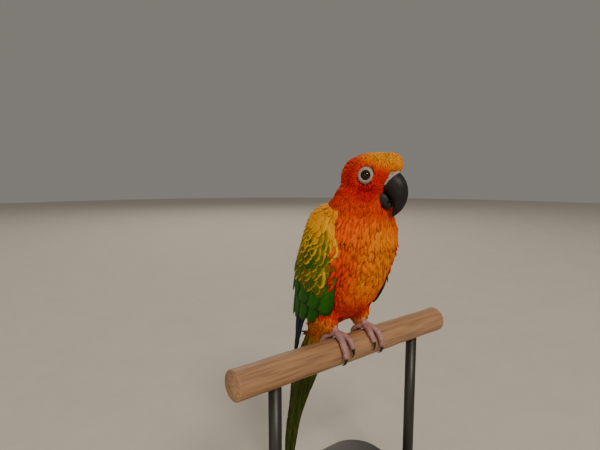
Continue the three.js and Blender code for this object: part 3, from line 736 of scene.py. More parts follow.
def eye_finish():
    """A wet, nearly black eye: a black pupil in a dark brown iris."""
    finish = Finish("eye", 0.05, Specular_IOR_Level=0.4)
    from_middle = finish.add("ShaderNodeSeparateColor", Color=finish.attribute("iris")).outputs["Red"]
    iris = colour("iris")
    stops = ((0.36, 0.002), (0.42, iris), (0.62, iris * 1.6), (0.72, (0.01, 0.006, 0.005)))
    shade = finish.ramp(finish.noise(2400, 4), (0.3, 0.6), (0.7, 1.3))
    finish.paint(finish.ramp(from_middle, *stops), shade)
    return finish.material


def wood_finish():
    """Smooth branch wood, its grain running along the perch."""
    finish = Finish("branch wood", 0.55)
    where = finish.place()

    def streaks(along, across, scale, **settings):
        drawn = finish.add("ShaderNodeMapping", Vector=where, Scale=(along, across, across))
        return finish.noise(scale, where=drawn.outputs["Vector"], **settings)

    grain = streaks(14, 240, 2.2, detail=6.0, Distortion=0.35)
    tone = colour("wood")
    base = finish.ramp(grain, (0.3, tone * 0.62), (0.5, tone), (0.72, np.minimum(tone * 1.25, 1)))
    finish.paint(base, finish.ramp(streaks(6, 60, 1.6), (0.3, 0.75), (0.7, 1.12)))
    finish.bump(grain, 0.35, 0.0003)
    return finish.material


# Skin

SKIN = {"voxel": 0.9, "soften": 10, "lid_room": 0.3, "eye_sink": 1.0, "nostril_sink": 2.6}


def skull_rings(rings, around):
    """Rings of the head's form, in the bird's frame."""
    heights = spline([(up, down, wide) for up, down, wide, _, _ in SKULL])
    places = spline([(forward, lean, 0) for _, _, _, forward, lean in SKULL])
    share, angle = np.linspace(0, 1, rings)[:, None], turns(around)
    up, down, wide = np.moveaxis(heights(share), -1, 0)
    forward, lean, _ = np.moveaxis(places(share), -1, 0)
    high = np.cos(angle) * np.where(np.cos(angle) > 0, up, down)
    return from_head(np.stack([np.sin(angle) * wide, -forward - lean * high, high], -1))


def thigh_rings(side, rings=24, around=32):
    """Rings of one thigh, from the flank down."""
    line = spline([row[:3] for row in THIGH])
    thickness = spline([(*row[3:], 0) for row in THIGH])
    share, angle = np.linspace(0, 1, rings)[:, None], turns(around)
    out, y, z = np.moveaxis(line(share), -1, 0)
    wide, deep, _ = np.moveaxis(thickness(share), -1, 0)
    x = side * (LEG_APART / 2 + out) + np.cos(angle) * wide
    return np.stack([x, y + np.sin(angle) * deep, z + angle * 0], -1)


def read_points(mesh):
    """Points and normals of a mesh, in the bird's frame."""
    points = read(mesh.vertices, "co", 3).astype(float) / MM - PERCH_MIDDLE
    return points, read(mesh.vertex_normals, "vector", 3).astype(float)


def apply_modifiers(obj):
    """Turns an object's modifiers into its plain mesh."""
    depsgraph = bpy.context.evaluated_depsgraph_get()
    mesh = bpy.data.meshes.new_from_object(
        obj.evaluated_get(depsgraph), preserve_all_data_layers=True, depsgraph=depsgraph
    )
    obj.modifiers.clear()
    old = obj.data
    obj.data = mesh
    bpy.data.meshes.remove(old)


def eye_axis(side):
    """The eye's middle and the way it looks, in the bird's frame."""
    inward = EYE["ball"] - EYE["bulge"]
    look = unit(np.array((side, -0.3, 0.12)))
    return from_head((EYE_PLACE - LEFT * inward) * (side, 1, 1)), HEAD_TURN @ look


def from_eye(points, side):
    """How far each point lies off an eye's axis and ahead along it, and the way that the eye looks."""
    middle, look = eye_axis(side)
    across = points - middle
    ahead = across @ look
    return np.linalg.norm(across - ahead[:, None] * look, axis=1), ahead, look


def make_skin():
    """One skin over head, neck, trunk and thighs, lying inside the coat by its depth."""
    piece = Piece()
    piece.add(*closed_tube(trunk_form.point(np.linspace(0, 1, 60)[:, None], turns(72))))
    piece.add(*closed_tube(skull_rings(44, 64)))
    for side in SIDES.values():
        piece.add(*closed_tube(thigh_rings(side)))
    skin = piece.build("skin", skin_finish())
    remesh = skin.modifiers.new("one skin", "REMESH")
    remesh.mode = "VOXEL"
    remesh.voxel_size = SKIN["voxel"] * MM
    soften = skin.modifiers.new("soft creases", "SMOOTH")
    soften.factor = 0.6
    soften.iterations = SKIN["soften"]
    apply_modifiers(skin)
    points, normals = read_points(skin.data)
    depth = sizes().depth * np.clip(coat_scale(points) * 1.25, 0.3, 1)
    points -= normals * depth[:, None]
    for side in SIDES.values():
        off, ahead, look = from_eye(points, side)
        under_lids = (off < EYE["ring"] - SKIN["lid_room"]) & (ahead > 0)
        points -= look * np.where(under_lids, ahead + SKIN["eye_sink"], 0)[:, None]
    local = to_head(points)
    for side in SIDES.values():
        out = HEAD_TURN @ unit(nostril(side, 2.0) - nostril(side, 0.0))
        near = ease(3.2, 1.4, np.linalg.norm(local - nostril(side), axis=1))
        points -= out * (SKIN["nostril_sink"] * near)[:, None]
    skin.data.vertices.foreach_set("co", metres(points).astype(np.float32).ravel())
    skin.data.update()
    write_colours(skin.data, "plumage", markings(points))
    skin.data.shade_smooth()
    return skin


def unwrap(obj):
    """Gives the skin a map unwrapped from its own shape."""
    bpy.context.view_layer.objects.active = obj
    obj.select_set(True)
    bpy.ops.object.mode_set(mode="EDIT")
    bpy.ops.mesh.select_all(action="SELECT")
    bpy.ops.uv.smart_project(angle_limit=math.radians(66), island_margin=0.004)
    bpy.ops.object.mode_set(mode="OBJECT")
    obj.select_set(False)
    obj.data.uv_layers.active.name = "OFBake"


class CONURE_OT_skin(bpy.types.Operator):
    """Builds the skin that carries the coat"""

    bl_idname = "conure.skin"
    bl_label = "Skin"

    def execute(self, context):
        skin = make_skin()
        unwrap(skin)
        finish_piece(skin, "breast_feathers", "head", "neck", "torso", "thigh_left", "thigh_right")
        return {"FINISHED"}


# Coat

# A plume, as shares of its length: place along, half width, height of its ridge
PLUME = ((0, 0.3, 0.0), (0.3, 0.95, 0.14), (0.62, 1.0, 0.2), (0.86, 0.6, 0.17), (1, 0.08, 0.12))
PATCH = 0.003
ROOT_VALUES = ("facing", "lie", "size", "root_place")
SLOTS = {"coat_thigh": "thigh_feathers", "coat_face": "face_feathers", "coat_nape": "face_feathers"}


def plume_object():
    """One plume of length 1 and width 1, a thin closed vane that rises and bends back down."""
    rings = []
    for along, half, high in PLUME:
        edge = high - 0.035 - 0.05 * half
        point = 0.04 * ((along == 1) - (along == 0))
        rings.append([(-half / 2, along, edge), (0, along + point, high), (half / 2, along, edge)])
    points, faces = closed_tube(np.array(rings))
    mesh = bpy.data.meshes.new("plume")
    mesh.from_pydata(points.tolist(), [], faces)
    mesh.shade_smooth()
    layer = mesh.uv_layers.new(name="vane")
    for loop in mesh.loops:
        layer.data[loop.index].uv = mesh.vertices[loop.vertex_index].co.xy
    return placed("plume", mesh)


def plume_tree():
    """Nodes that stand a plume on each root, along the lie, and give it its patch of the bake map."""
    tree = bpy.data.node_groups.new("plumes on roots", "GeometryNodeTree")
    for name, kind in (("Roots", "Geometry"), ("Plume", "Object"), ("Jitter", "Vector"), ("Seed", "Int"),
                       ("Finish", "Material")):
        tree.interface.new_socket(name, in_out="INPUT", socket_type=f"NodeSocket{kind}")
    tree.interface.new_socket("Coat", in_out="OUTPUT", socket_type="NodeSocketGeometry")
    nodes = Nodes(tree)
    given = nodes.add("NodeGroupInput").outputs

    def attribute(name):
        kind = (("data_type", "FLOAT_VECTOR"),)
        return nodes.add("GeometryNodeInputNamedAttribute", kind, Name=name).outputs["Attribute"]

    def vector_math(operation, a, b):
        node = nodes.add("ShaderNodeVectorMath", (("operation", operation),))
        nodes.feed(node.inputs[0], a)
        nodes.feed(node.inputs["Scale"] if operation == "SCALE" else node.inputs[1], b)
        return node.outputs[0]

    laid = nodes.add("FunctionNodeAxesToRotation", (("primary_axis", "Z"), ("secondary_axis", "Y")),
                     Primary_Axis=attribute("facing"), Secondary_Axis=attribute("lie"))
    scatter = nodes.add("FunctionNodeRandomValue", (("data_type", "FLOAT_VECTOR"),), Max=given["Jitter"],
                        Min=vector_math("SCALE", given["Jitter"], -1.0), Seed=given["Seed"])
    swing = nodes.add("FunctionNodeEulerToRotation", Euler=scatter.outputs["Value"])
    turned = nodes.add("FunctionNodeRotateRotation", (("rotation_space", "LOCAL"),),
                       Rotation=laid.outputs[0], Rotate_By=swing.outputs[0])
    plume = nodes.add("GeometryNodeObjectInfo", Object=given["Plume"]).outputs["Geometry"]
    stood = nodes.add("GeometryNodeInstanceOnPoints", Points=given["Roots"], Instance=plume,
                      Rotation=turned.outputs[0], Scale=attribute("size"))
    whole = nodes.add("GeometryNodeRealizeInstances", Geometry=stood.outputs[0])
    patch = vector_math("SCALE", vector_math("SUBTRACT", attribute("vane"), (0.0, 0.5, 0.0)), PATCH)
    store = nodes.add("GeometryNodeStoreNamedAttribute", (("data_type", "FLOAT2"), ("domain", "CORNER")),
                      Geometry=whole.outputs[0], Name="OFBake",
                      Value=vector_math("ADD", attribute("root_place"), patch))
    painted = nodes.add("GeometryNodeSetMaterial", Geometry=store.outputs[0], Material=given["Finish"])
    nodes.feed(nodes.add("NodeGroupOutput").inputs[0], painted.outputs[0])
    return tree


def covered(points):
    """True for roots that the folded wings, the bill, the tail or the bare ring round the eye cover."""
    local = to_head(points)
    hidden = upper_horn.holds(local, 0.0) | lower_horn.holds(local, -0.3)
    for side in SIDES.values():
        off, ahead, _ = from_eye(points, side)
        hidden |= (off < EYE["ring"] - 0.15) & (ahead > 0)
        hidden |= np.linalg.norm(local - nostril(side), axis=1) < CERE["bare"]
    past_end = (points - trunk_form.at(0.0)) @ trunk_form.tangent(np.array(0.0)) < 1.2
    hidden |= past_end & (points[:, 1] > 22)
    along, angle, wide = wing_place(points)
    low, high = edges_at(along)
    on_trunk = (np.abs(points[:, 0]) < wide + 1) & (along > 0.05) & (along < 0.6) & (points[:, 2] > 14)
    return hidden | (on_trunk & (angle > low + 14) & (angle < high - 12))


def wing_place(points):
    """Each point's share along the wing's bed, its degrees round it and the bed's half width there."""
    shares = np.linspace(0, 1, 160)
    along = shares[bed_form.nearest(points, bed_form.share(shares))]
    return along, np.degrees(bed_form.around(points, bed_form.share(along))), bed_width(along)


def smooth_round_eyes(points, normals):
    """Turns the normals round the sunken eyes to the way that the eye looks, so that plumes lie flat."""
    for side in SIDES.values():
        off, ahead, look = from_eye(points, side)
        near = ease(10, 6.5, off) * (ahead > -2) * 0.9
        normals = unit(lerp(normals, look, near[:, None]))
    return normals


def flare(points, normals, lie):
    """Plumes in front of the folded wing stand up a little and turn towards it, over the wing's edge."""
    along, angle, _ = wing_place(points)
    low, _ = edges_at(along)
    beside = ease(13, 5, low - angle) * ease(-3, 1, low - angle)
    near = (beside * ease(0.03, 0.1, along) * ease(0.36, 0.22, along))[:, None]
    aside = LEFT * np.sign(points[:, :1])
    lie = unit(lie + near * 0.16 * (aside - normals * (aside * normals).sum(-1, keepdims=True)))
    return unit(normals - lie * near * 0.5), lie


def sow(skin, rng):
    """Roots for the plumes: points, normals, map places and scales, closer where the plumes are smaller."""
    mesh = skin.data
    mesh.calc_loop_triangles()
    corners = read(mesh.loop_triangles, "vertices", 3, np.int32)
    loops = read(mesh.loop_triangles, "loops", 3, np.int32)
    places = read(mesh.uv_layers["OFBake"].data, "uv", 2)
    points, normals = read_points(mesh)
    a, b, c = (points[corners[:, k]] for k in range(3))
    middle = (a + b + c) / 3
    scale = coat_scale(middle)
    area = np.linalg.norm(np.cross(b - a, c - a), axis=1) / 2
    spacing = sizes().spacing * scale
    want = area / spacing**2
    want[covered(middle)] = 0
    tries = rng.choice(len(want), size=int(want.sum() * 5), p=want / want.sum())
    u, v = rng.random((2, len(tries)))
    over = u + v > 1
    u[over], v[over] = 1 - u[over], 1 - v[over]
    share = np.column_stack([1 - u - v, u, v])[..., None]
    at, out, place = (
        (values[rows[tries]] * share).sum(1)
        for values, rows in ((points, corners), (normals, corners), (places, loops))
    )
    tree = KDTree(len(at))
    for k, p in enumerate(at):
        tree.insert(p, k)
    tree.balance()
    free = np.ones(len(at), bool)
    kept = []
    for k, p in enumerate(at):
        if free[k]:
            kept.append(k)
            for _, other, _ in tree.find_range(p, spacing[tries[k]]):
                free[other] = False
    return at[kept], unit(out[kept]), place[kept], scale[tries[kept]]


def coat_regions(points):
    """The name of the coat piece that each root belongs to."""
    behind = to_head(points)[:, 1]
    height, left = points[:, 2], points[:, 0] > 0
    _, angle = trunk_place(points)
    name = np.where(angle > 1.6, "coat_back", "coat_belly").astype(object)
    name[(height > 58) & (angle <= 1.6)] = "coat_breast"
    name[height > 85] = "coat_neck"
    head = height + 0.25 * behind > 100
    name[head] = "coat_nape"
    legs = on_legs(points, 34) & (distance_to_trunk(points) > 0.3)
    for side, mine in (("left", left), ("right", ~left)):
        name[head & (behind < 1) & mine] = f"coat_face_{side}"
        name[legs & mine] = f"coat_thigh_{side}"
    return name


def make_coat(name, roots, tones, inputs, tree):
    """One coat piece: its plumes stand on their roots through geometry nodes, and become plain mesh."""
    mesh = bpy.data.meshes.new(name)
    mesh.from_pydata(metres(roots[0]).tolist(), [], [])
    for key, value in zip(ROOT_VALUES, roots[1:]):
        mesh.attributes.new(key, "FLOAT_VECTOR", "POINT").data.foreach_set("vector", value.ravel())
    write_colours(mesh, "plumage", tones)
    coat = placed(name, mesh)
    modifier = coat.modifiers.new("plumes", "NODES")
    modifier.node_group = tree
    for item in tree.interface.items_tree:
        if item.name in inputs:
            modifier[item.identifier] = inputs[item.name]
    apply_modifiers(coat)
    for key in ROOT_VALUES:
        coat.data.attributes.remove(coat.data.attributes[key])
    return coat


class CONURE_OT_coat(bpy.types.Operator):
    """Lays the small feathers over head, neck, trunk and thighs"""

    bl_idname = "conure.coat"
    bl_label = "Coat"

    def execute(self, context):
        rng = draws(1)
        points, normals, places, scale = sow(bpy.data.objects["skin"], rng)
        normals = smooth_round_eyes(points, normals)
        facing, lie = flare(points, normals, lie_of(points, normals))
        length = sizes().plume * scale * rng.uniform(0.8, 1.2, len(points))
        thin = lerp(0.46, 0.31, ease(0.3, 1, scale))
        size = np.column_stack([length * thin * rng.uniform(0.85, 1.2, len(points)), length, length]) * MM
        tones = markings(points + rng.normal(0, 1.0, points.shape) * scale[:, None])
        tones = np.clip(tones * rng.uniform(0.82, 1.14, len(points))[:, None], 0, 1)
        root_place = np.column_stack([places, places[:, 0] * 0])
        inputs = {
            "Plume": plume_object(),
            "Jitter": (0.07, 0.16, 0.22),
            "Finish": plumage_finish("body plumage", 80),
        }
        regions = coat_regions(points)
        tree = plume_tree()
        for seed, name in enumerate(sorted(set(regions))):
            mine = regions == name
            roots = [part[mine] for part in (points, facing, lie, size, root_place)]
            coat = make_coat(name, roots, tones[mine], {**inputs, "Seed": seed}, tree)
            slot = next((s for key, s in SLOTS.items() if name.startswith(key)), "breast_feathers")
            finish_piece(coat, slot)
        bpy.data.objects.remove(inputs["Plume"])
        return {"FINISHED"}


# Long feathers

# Places across a feather, from one edge over the shaft to the other
ACROSS = np.array((-1, -0.72, -0.36, -0.07, 0, 0.07, 0.36, 0.72, 1))
SHAFT = 0.16


def outline(along, root, widest, point):
    """The half width of a feather at shares of its length: narrow at the root, rounded at the tip."""
    grown = lerp(root, 1, ease(0, widest, along))
    tip = np.clip((along - point) / (1 - point), 0, 1)
    return grown * np.sqrt(np.maximum(1 - tip**2, 0.0004))


def feather(surface, width, lift, rng, stations=16, root=0.55, widest=0.4, point=0.6, tilt=0.3, shift=0.0,
            thick=(0.5, 0.28), camber=0.35):
    """One vane over a surface: a thin lens with a shaft, its edges a little uneven. Gives points and faces,
    the share across and along of each point, and its place in millimetres."""
    along = 1 - (1 - np.linspace(0, 1, stations)) ** 1.35
    half = outline(along, root, widest, point) * width / 2
    uneven = 1 + rng.normal(0, 0.035, (stations, 2)) * ease(0, 0.3, along)[:, None]
    across = ACROSS * np.where(ACROSS < 0, uneven[:, :1], uneven[:, 1:])
    aside = half[:, None] * (across + shift * (1 - ACROSS**2))
    share = np.broadcast_to(along[:, None], aside.shape)
    over = lerp(*lift, ease(-0.2, 1, share)) - tilt * ACROSS - camber * ACROSS**2
    ridge = SHAFT * (ACROSS == 0) * lerp(1, 0.4, share)
    deep = lerp(*thick, share) * (1 - 0.8 * np.abs(ACROSS) ** 3)
    inner = slice(len(ACROSS) - 2, 0, -1)
    under = surface(share, aside, over - deep)[:, inner]
    rings = np.concatenate([surface(share, aside, over + ridge), under], axis=1)
    u, v, aside = (
        np.concatenate([part, part[:, inner]], axis=1).ravel()
        for part in (np.broadcast_to(ACROSS, aside.shape), share, aside)
    )
    ends = surface(np.array([0.0, 1.0]), 0.0, 0.0)
    return *closed_tube(rings), u, v, np.column_stack([aside, v * np.linalg.norm(ends[1] - ends[0])])


def cell(u, v, index, total):
    """Each long feather's own cell of the bake map."""
    side = math.ceil(math.sqrt(total))
    column, row = index % side, index // side
    return np.column_stack([(column + 0.5 + u * 0.44) / side, (row + 0.04 + v * 0.92) / side])


def feather_piece(name, feathers, material):
    """One piece from a list of feathers, each with its surface, its colour function and its sizes."""
    piece = Piece()
    for index, (surface, tone, keys) in enumerate(feathers):
        points, faces, u, v, place = feather(surface, **keys)
        tones = np.clip(tone(u, v) * keys["rng"].uniform(0.9, 1.1), 0, 1)
        piece.add(points, faces, plumage=tones, vane=place, OFBake=cell(u, v, index, len(feathers)))
    return piece.build(name, material)


def rows_up(count, tips):
    """Rows from the lowest up: each one's number, its share of the way down and where its tips lie."""
    for row in reversed(range(count)):
        share = row / (count - 1)
        yield row, share, lerp(*tips, share)


# Wings

# Rows of coverts, of the back's feathers and of flight feathers. Places are shares along the wing's bed, a
# pair holds the values at the two ends of a run, and pack is a feather's step as a share of its width.
COVERT_ROWS = {
    "count": 11, "tips": (0.035, 0.335), "length": (0.045, 0.11), "width": (4.8, 8.6), "pack": 0.58
}
# How high a covert lies at its root and at its tip: in the first row, further down, and where that is reached
COVERT_LIFT = ((0.2, 2.4, 0.25), (2.4, 4.0, 0.2))
MANTLE_ROWS = {"count": 9, "tips": (0.09, 0.42), "length": 0.11, "width": 7.0, "pack": 0.5}
SECONDARY_ROWS = (
    dict(count=8, roots=(0.3, 0.31), tips=(0.5, 0.62), round=(57, 160), end=(46, 167), width=(10.4, 9.6),
         lift=(0.7, 2.6), stack=0.08, stations=20, point=0.72, leaf=(0.35, 0.95)),
    dict(count=8, roots=(0.22, 0.22), tips=(0.42, 0.45), round=(58, 160), end=(51, 165), width=(10.6, 10),
         lift=(1.6, 3.7), stack=0.02, stations=18, point=0.7, leaf=(0.3, 0.95)),
)
PRIMARY_ROWS = (
    dict(count=7, roots=(0.46, 0.48), tips=(0.995, 0.72), round=(72, 156), end=(139, 165), width=(7.2, 8),
         lift=(-0.2, 0.9), stack=0.32, stations=26, point=0.45, leaf=None),
)
# Smooth bodies under the feathers: name, slot, tone, how light, and start, stop, top and base over the bed
WING_CORES = (
    # The core's yellow at 0.6 of its colour is painted shade under the coverts
    ("core", "wing_coverts", "yellow", 0.6, (0.02, 0.3, 2.8, -2.5)),
    ("fold", "wing_green", "deep_green", 1.0, (0.2, 0.48, 1.2, 0.0)),
)


def wing_surface(side, roots, tips, around, end):
    """A function of shares along, millimetres aside and over, for a feather of one wing."""
    def surface(share, aside, over):
        return on_bed(lerp(roots, tips, share), lerp(around, end, share), aside, over) * (side, 1, 1)
    return surface


def covert_tone(u, v, row, dark, gold, rng):
    """A covert: yellow edges round a dark green centre that is larger in the lower rows."""
    tone = lerp(colour("yellow"), colour("mantle"), gold) * np.ones((len(u), 1))
    reach = np.hypot(u * 0.9, (v - 0.62) * 1.9) + rng.normal(0, 0.07)
    size = lerp(0.42, 0.9, ease(0.1, 0.8, row)) * rng.uniform(0.8, 1.15)
    green = lerp(colour("green"), colour("deep_green"), rng.uniform(0.35, 1))
    return lerp(tone, green, (ease(size + 0.1, size - 0.12, reach) * dark)[:, None])


def green_tone(u, v, leaf):
    """A long wing feather: green, with a leaf-green edge on the spine's side and a darker inner web."""
    tone = np.tile(colour("green"), (len(u), 1))
    tone = tinted(tone, "deep_green", ease(0.1, -0.8, u) * 0.55)
    tone = tinted(tone, "leaf", ease(0.25, 0.95, u) * leaf)
    return tinted(tone, "blue", ease(0.9, 1.02, v) * 0.35)


def dark_tone(u, v):
    """A primary: blue-black, green along the middle of its outer web."""
    tone = np.tile(colour("blue"), (len(u), 1))
    return tinted(tone, "green", ease(0.75, 0.2, v) * ease(0.2, 0.9, u) * 0.8)


def mantle_tone(u, v, share):
    """A feather of the back: the nape's colour high up, and the mantle's lower down."""
    return np.tile(lerp(colour("nape"), colour("mantle"), ease(0, 0.4, share)), (len(u), 1))


def coverts(side, rng):
    """The wing's small feathers, the tips of each row over the roots of the next one down."""
    found = []
    for row, share, tip in rows_up(COVERT_ROWS["count"], COVERT_ROWS["tips"]):
        length, width = lerp(*COVERT_ROWS["length"], share), lerp(*COVERT_ROWS["width"], share)
        low, high = edges_at(tip)
        count = int(math.radians(high - low) * bed_width(tip) / (width * COVERT_ROWS["pack"])) + 1
        for k in range(count):
            place = min((k + 0.5 * (row % 2) + rng.normal(0, 0.08)) / count, 0.99)
            tips = tip + rng.normal(0, 0.007) + 0.02 * place * share
            start = max(tips - length, 0.0)
            around, end = (lerp(*edges_at(at), lerp(0.03, 0.98, place)) for at in (start, tips))
            surface = wing_surface(side, start, tips, around, end + rng.normal(0, 3 if place < 0.15 else 1.2))
            paler = lerp(1, 0.4, ease(0.35, 0.75, place) * (share < 0.85))
            dark = ease(0.12, 0.42, share) * rng.uniform(0.85, 1.0) * paler
            tone = partial(covert_tone, row=share, dark=dark, gold=ease(0.5, 0.0, share), rng=rng)
            tucked = 1.6 * ease(0.14, 0.0, place)
            lift = [lerp(first, later, ease(0, by, share)) - tucked for first, later, by in COVERT_LIFT]
            keys = dict(width=width * rng.uniform(0.9, 1.12), lift=lift, rng=rng,
                        stations=9, root=0.6, widest=0.5, point=0.5, tilt=0.25)
            found.append((surface, tone, keys))
    return found


def mantle(rng):
    """Feathers of the back that bridge the two wings, in rows from the nape down."""
    found = []
    for row, share, tip in rows_up(MANTLE_ROWS["count"], MANTLE_ROWS["tips"]):
        _, high = edges_at(tip)
        high = high - lerp(9, 3, share)
        step = MANTLE_ROWS["width"] * MANTLE_ROWS["pack"]
        count = int(math.radians(360 - 2 * high) * bed_width(tip) / step) + 2
        start = max(tip - MANTLE_ROWS["length"], 0.0)
        for k in range(count):
            place = (k + 0.25 + 0.5 * (row % 2)) / count
            around = lerp(high, 360 - high, place)
            surface = wing_surface(1, start, tip + rng.normal(0, 0.006), around, around + rng.normal(0, 1.5))
            over = lerp(1.2, 3.4, abs(2 * place - 1)) * lerp(0.3, 1, ease(0, 0.3, share))
            keys = dict(width=MANTLE_ROWS["width"] * lerp(0.75, 1, share) * rng.uniform(0.9, 1.1),
                        lift=(over - lerp(6, 3, share), over), rng=rng,
                        stations=10, root=0.6, widest=0.5, point=0.45, tilt=0)
            found.append((surface, partial(mantle_tone, share=share), keys))
    return found


def flight(side, rng, rows):
    """Rows of long feathers, from the outer edge of the folded wing to the spine."""
    found = []
    for row in rows:
        for k in range(row["count"]):
            share = k / (row["count"] - 1)
            root, tip, around, end = (lerp(*row[key], share) for key in ("roots", "tips", "round", "end"))
            surface = wing_surface(side, root, tip + rng.normal(0, 0.004), around, end + rng.normal(0, 0.5))
            tone = partial(green_tone, leaf=lerp(*row["leaf"], share)) if row["leaf"] else dark_tone
            lift = (row["lift"][0], row["lift"][1] + row["stack"] * k)
            keys = dict(width=lerp(*row["width"], share), lift=lift, rng=rng, stations=row["stations"],
                        root=0.5, widest=0.35, point=row["point"], tilt=0.3, shift=0.12)
            found.append((surface, tone, keys))
    return found


def wing_core(name, side, tone, material, start, stop, over, under):
    """A smooth body of the wing under its feathers."""
    share = np.linspace(start, stop, 24)[:, None]
    across = np.linspace(0.03, 0.97, 20)[None, :]
    around = lerp(*edges_at(share), across)
    share = share + 0 * around
    over = lerp(0, over, ease(start - 0.02, start + 0.1, share))
    swell = np.sqrt(np.maximum(1 - (2 * across - 1) ** 6, 0.05))
    top = on_bed(share, around, 0.0, lerp(under, over, swell))
    base = on_bed(share, around, 0.0, under)
    rings = np.concatenate([top, base[:, -2:0:-1]], axis=1) * (side, 1, 1)
    return tube_piece(name, rings, material, plumage=tone, vane=rings.reshape(-1, 3)[:, :2])


class CONURE_OT_wings(bpy.types.Operator):
    """Builds both folded wings, feather by feather"""

    bl_idname = "conure.wings"
    bl_label = "Wings"

    def execute(self, context):
        finish = plumage_finish("wing plumage", 14, 0.55)
        finish_piece(feather_piece("mantle_feathers", mantle(draws(9)), finish), "breast_feathers")
        for salt, (name, side) in enumerate(SIDES.items()):
            rng = draws(10 + salt)
            groups = (
                ("coverts", "wing_coverts", coverts(side, rng)),
                ("secondaries", "wing_green", flight(side, rng, SECONDARY_ROWS)),
                ("primaries", "wing_dark", flight(side, rng, PRIMARY_ROWS)),
            )
            for group, slot, feathers in groups:
                made = feather_piece(f"{group}_{name}", feathers, finish)
                finish_piece(made, slot, f"wing_{group}_{name}")
            for part, slot, tone, light, place in WING_CORES:
                # The tone times how light: the covert core's darker yellow is painted shade
                core = wing_core(f"wing_{part}_{name}", side, colour(tone) * light, finish, *place)
                finish_piece(core, slot)
        return {"FINISHED"}


# Tail

TAIL_PAIRS = {"count": 6, "shortest": 0.5, "width": 10.2, "step": 0.62}
TAIL_COVERTS = {"rows": 4, "most": 6, "length": 0.2, "above": (0.3, 0.05), "below": (0.27, 0.06)}


def tail_surface(side, length, outer, width):
    """A function of shares along, millimetres aside and over, for a feather of the tail."""
    def surface(share, aside, over):
        along = lerp(0.0, length, share)
        edge = tail_width(tail_line.share(along))[..., 0]
        middle = lerp(width * 0.24, np.maximum(edge - width / 2, width * 0.4), outer)
        return on_tail(along, side * middle + aside, over)
    return surface


def tail_tone(u, v):
    """A tail feather: olive, darker along its edges and towards its end."""
    tone = np.tile(colour("olive"), (len(u), 1))
    return tinted(tinted(tone, "dusk", ease(0.55, 1.0, np.abs(u)) * 0.6), "dusk", ease(0.5, 1.0, v) * 0.75)


def tail_feathers(rng):
    """Tail feathers in pairs, from the short outer pair beneath to the long middle pair on top."""
    found = []
    pairs = TAIL_PAIRS["count"]
    for pair in reversed(range(pairs)):
        outer = pair / (pairs - 1)
        width = TAIL_PAIRS["width"] * lerp(1, 0.82, outer)
        for side in (-1, 1):
            length = lerp(0.998, TAIL_PAIRS["shortest"], outer**1.15) - (0.004 * rng.random() if pair else 0)
            over = (0.5 - outer) * TAIL_PAIRS["step"] * (pairs - 1) + 0.35 * (side > 0)
            keys = dict(width=width, lift=(over, over + 0.1), rng=rng, stations=34, root=0.45, widest=0.25,
                        point=0.4, tilt=0.12 * side, camber=0.25, thick=(0.42, 0.3))
            found.append((tail_surface(side, length, outer, width), tail_tone, keys))
    return found


def root_surface(start, stop, place, above, share):
    """A function of shares along, millimetres aside and over, for a feather at the root of the tail. It may
    start before the tail's line does, which is then carried on straight."""
    def surface(t, aside, over):
        along = lerp(start, stop, t)
        edge = lerp(5.5, 8.5, ease(-0.1, 0.25, along)) * (1 - 0.1 * share)
        points = on_tail(np.maximum(along, 0), place * edge + aside, over * above)
        before = np.asarray(np.minimum(along, 0))[..., None] * tail_line.runs[-1]
        return points + before * tail_line.tangent(np.array(0.0))
    return surface


def root_tone(u, v, near, share):
    """A feather at the root of the tail: the colour of what is near it, and olive further out."""
    base = lerp(colour("olive"), colour(near), lerp(0.15, 0.9, share))
    return tinted(np.tile(base, (len(u), 1)), "leaf", ease(0.4, 1, np.abs(u)) * 0.3)


def tail_coverts(rng):
    """Feathers that run from the rump and the vent out over the root of the tail, above and below."""
    found = []
    for above, reaches, near in ((1, TAIL_COVERTS["above"], "rump"), (-1, TAIL_COVERTS["below"], "thigh")):
        for row in range(TAIL_COVERTS["rows"]):
            share = row / (TAIL_COVERTS["rows"] - 1)
            count = TAIL_COVERTS["most"] - row
            for k in range(count):
                place = (k + 0.5) / count * 2 - 1
                stop = lerp(*reaches, share) + rng.normal(0, 0.006)
                surface = root_surface(stop - TAIL_COVERTS["length"], stop, place, above, share)
                top = lerp(1.2, 4.6, share) - 1.6 * place**2
                keys = dict(width=lerp(8.4, 7.4, share), lift=(top - 1.6, top + 0.5), rng=rng, stations=14,
                            root=0.6, widest=0.4, point=0.5, tilt=0, camber=0.5)
                found.append((surface, partial(root_tone, near=near, share=share), keys))
    return found


class CONURE_OT_tail(bpy.types.Operator):
    """Builds the tail's long feathers and the coverts at its root"""

    bl_idname = "conure.tail"
    bl_label = "Tail"

    def execute(self, context):
        rng = draws(20)
        finish = plumage_finish("tail plumage", 12, 0.55)
        finish_piece(feather_piece("tail_feathers", tail_feathers(rng), finish), "tail_feathers", "tail")
        finish_piece(feather_piece("tail_coverts", tail_coverts(rng), finish), "tail_feathers")
        return {"FINISHED"}


# Eyes

LID_BEADS = {"count": 26, "radius": 0.27}
# Section of the lids, measured from the opening's edge, and of the ring's outer side, measured from its edge
LIDS_OVER = ((1.35, -0.1), (0.6, 0.55), (0.08, 0.45), (-0.05, 0.05))
RING_UNDER = ((-0.6, -0.4), (0, 0.3), (-0.15, 1.5))


def across_axis(look):
    """Two directions square to an axis and to each other."""
    first = unit(np.cross(look, (0, 1.0, 0) if abs(look[2]) > 0.9 else (0, 0, 1.0)))
    return first, np.cross(look, first)


def lathe(profile, around, middle, look):
    """Rings of a profile of (out from the axis, along the axis), turned about the axis through middle."""
    first, second = across_axis(look)
    out, ahead = np.hsplit(np.asarray(profile, float), 2)
    angle = turns(around)
    ring = first * (np.cos(angle) * out)[..., None] + second * (np.sin(angle) * out)[..., None]
    return middle + ring + np.asarray(look) * (ahead + 0 * angle)[..., None]


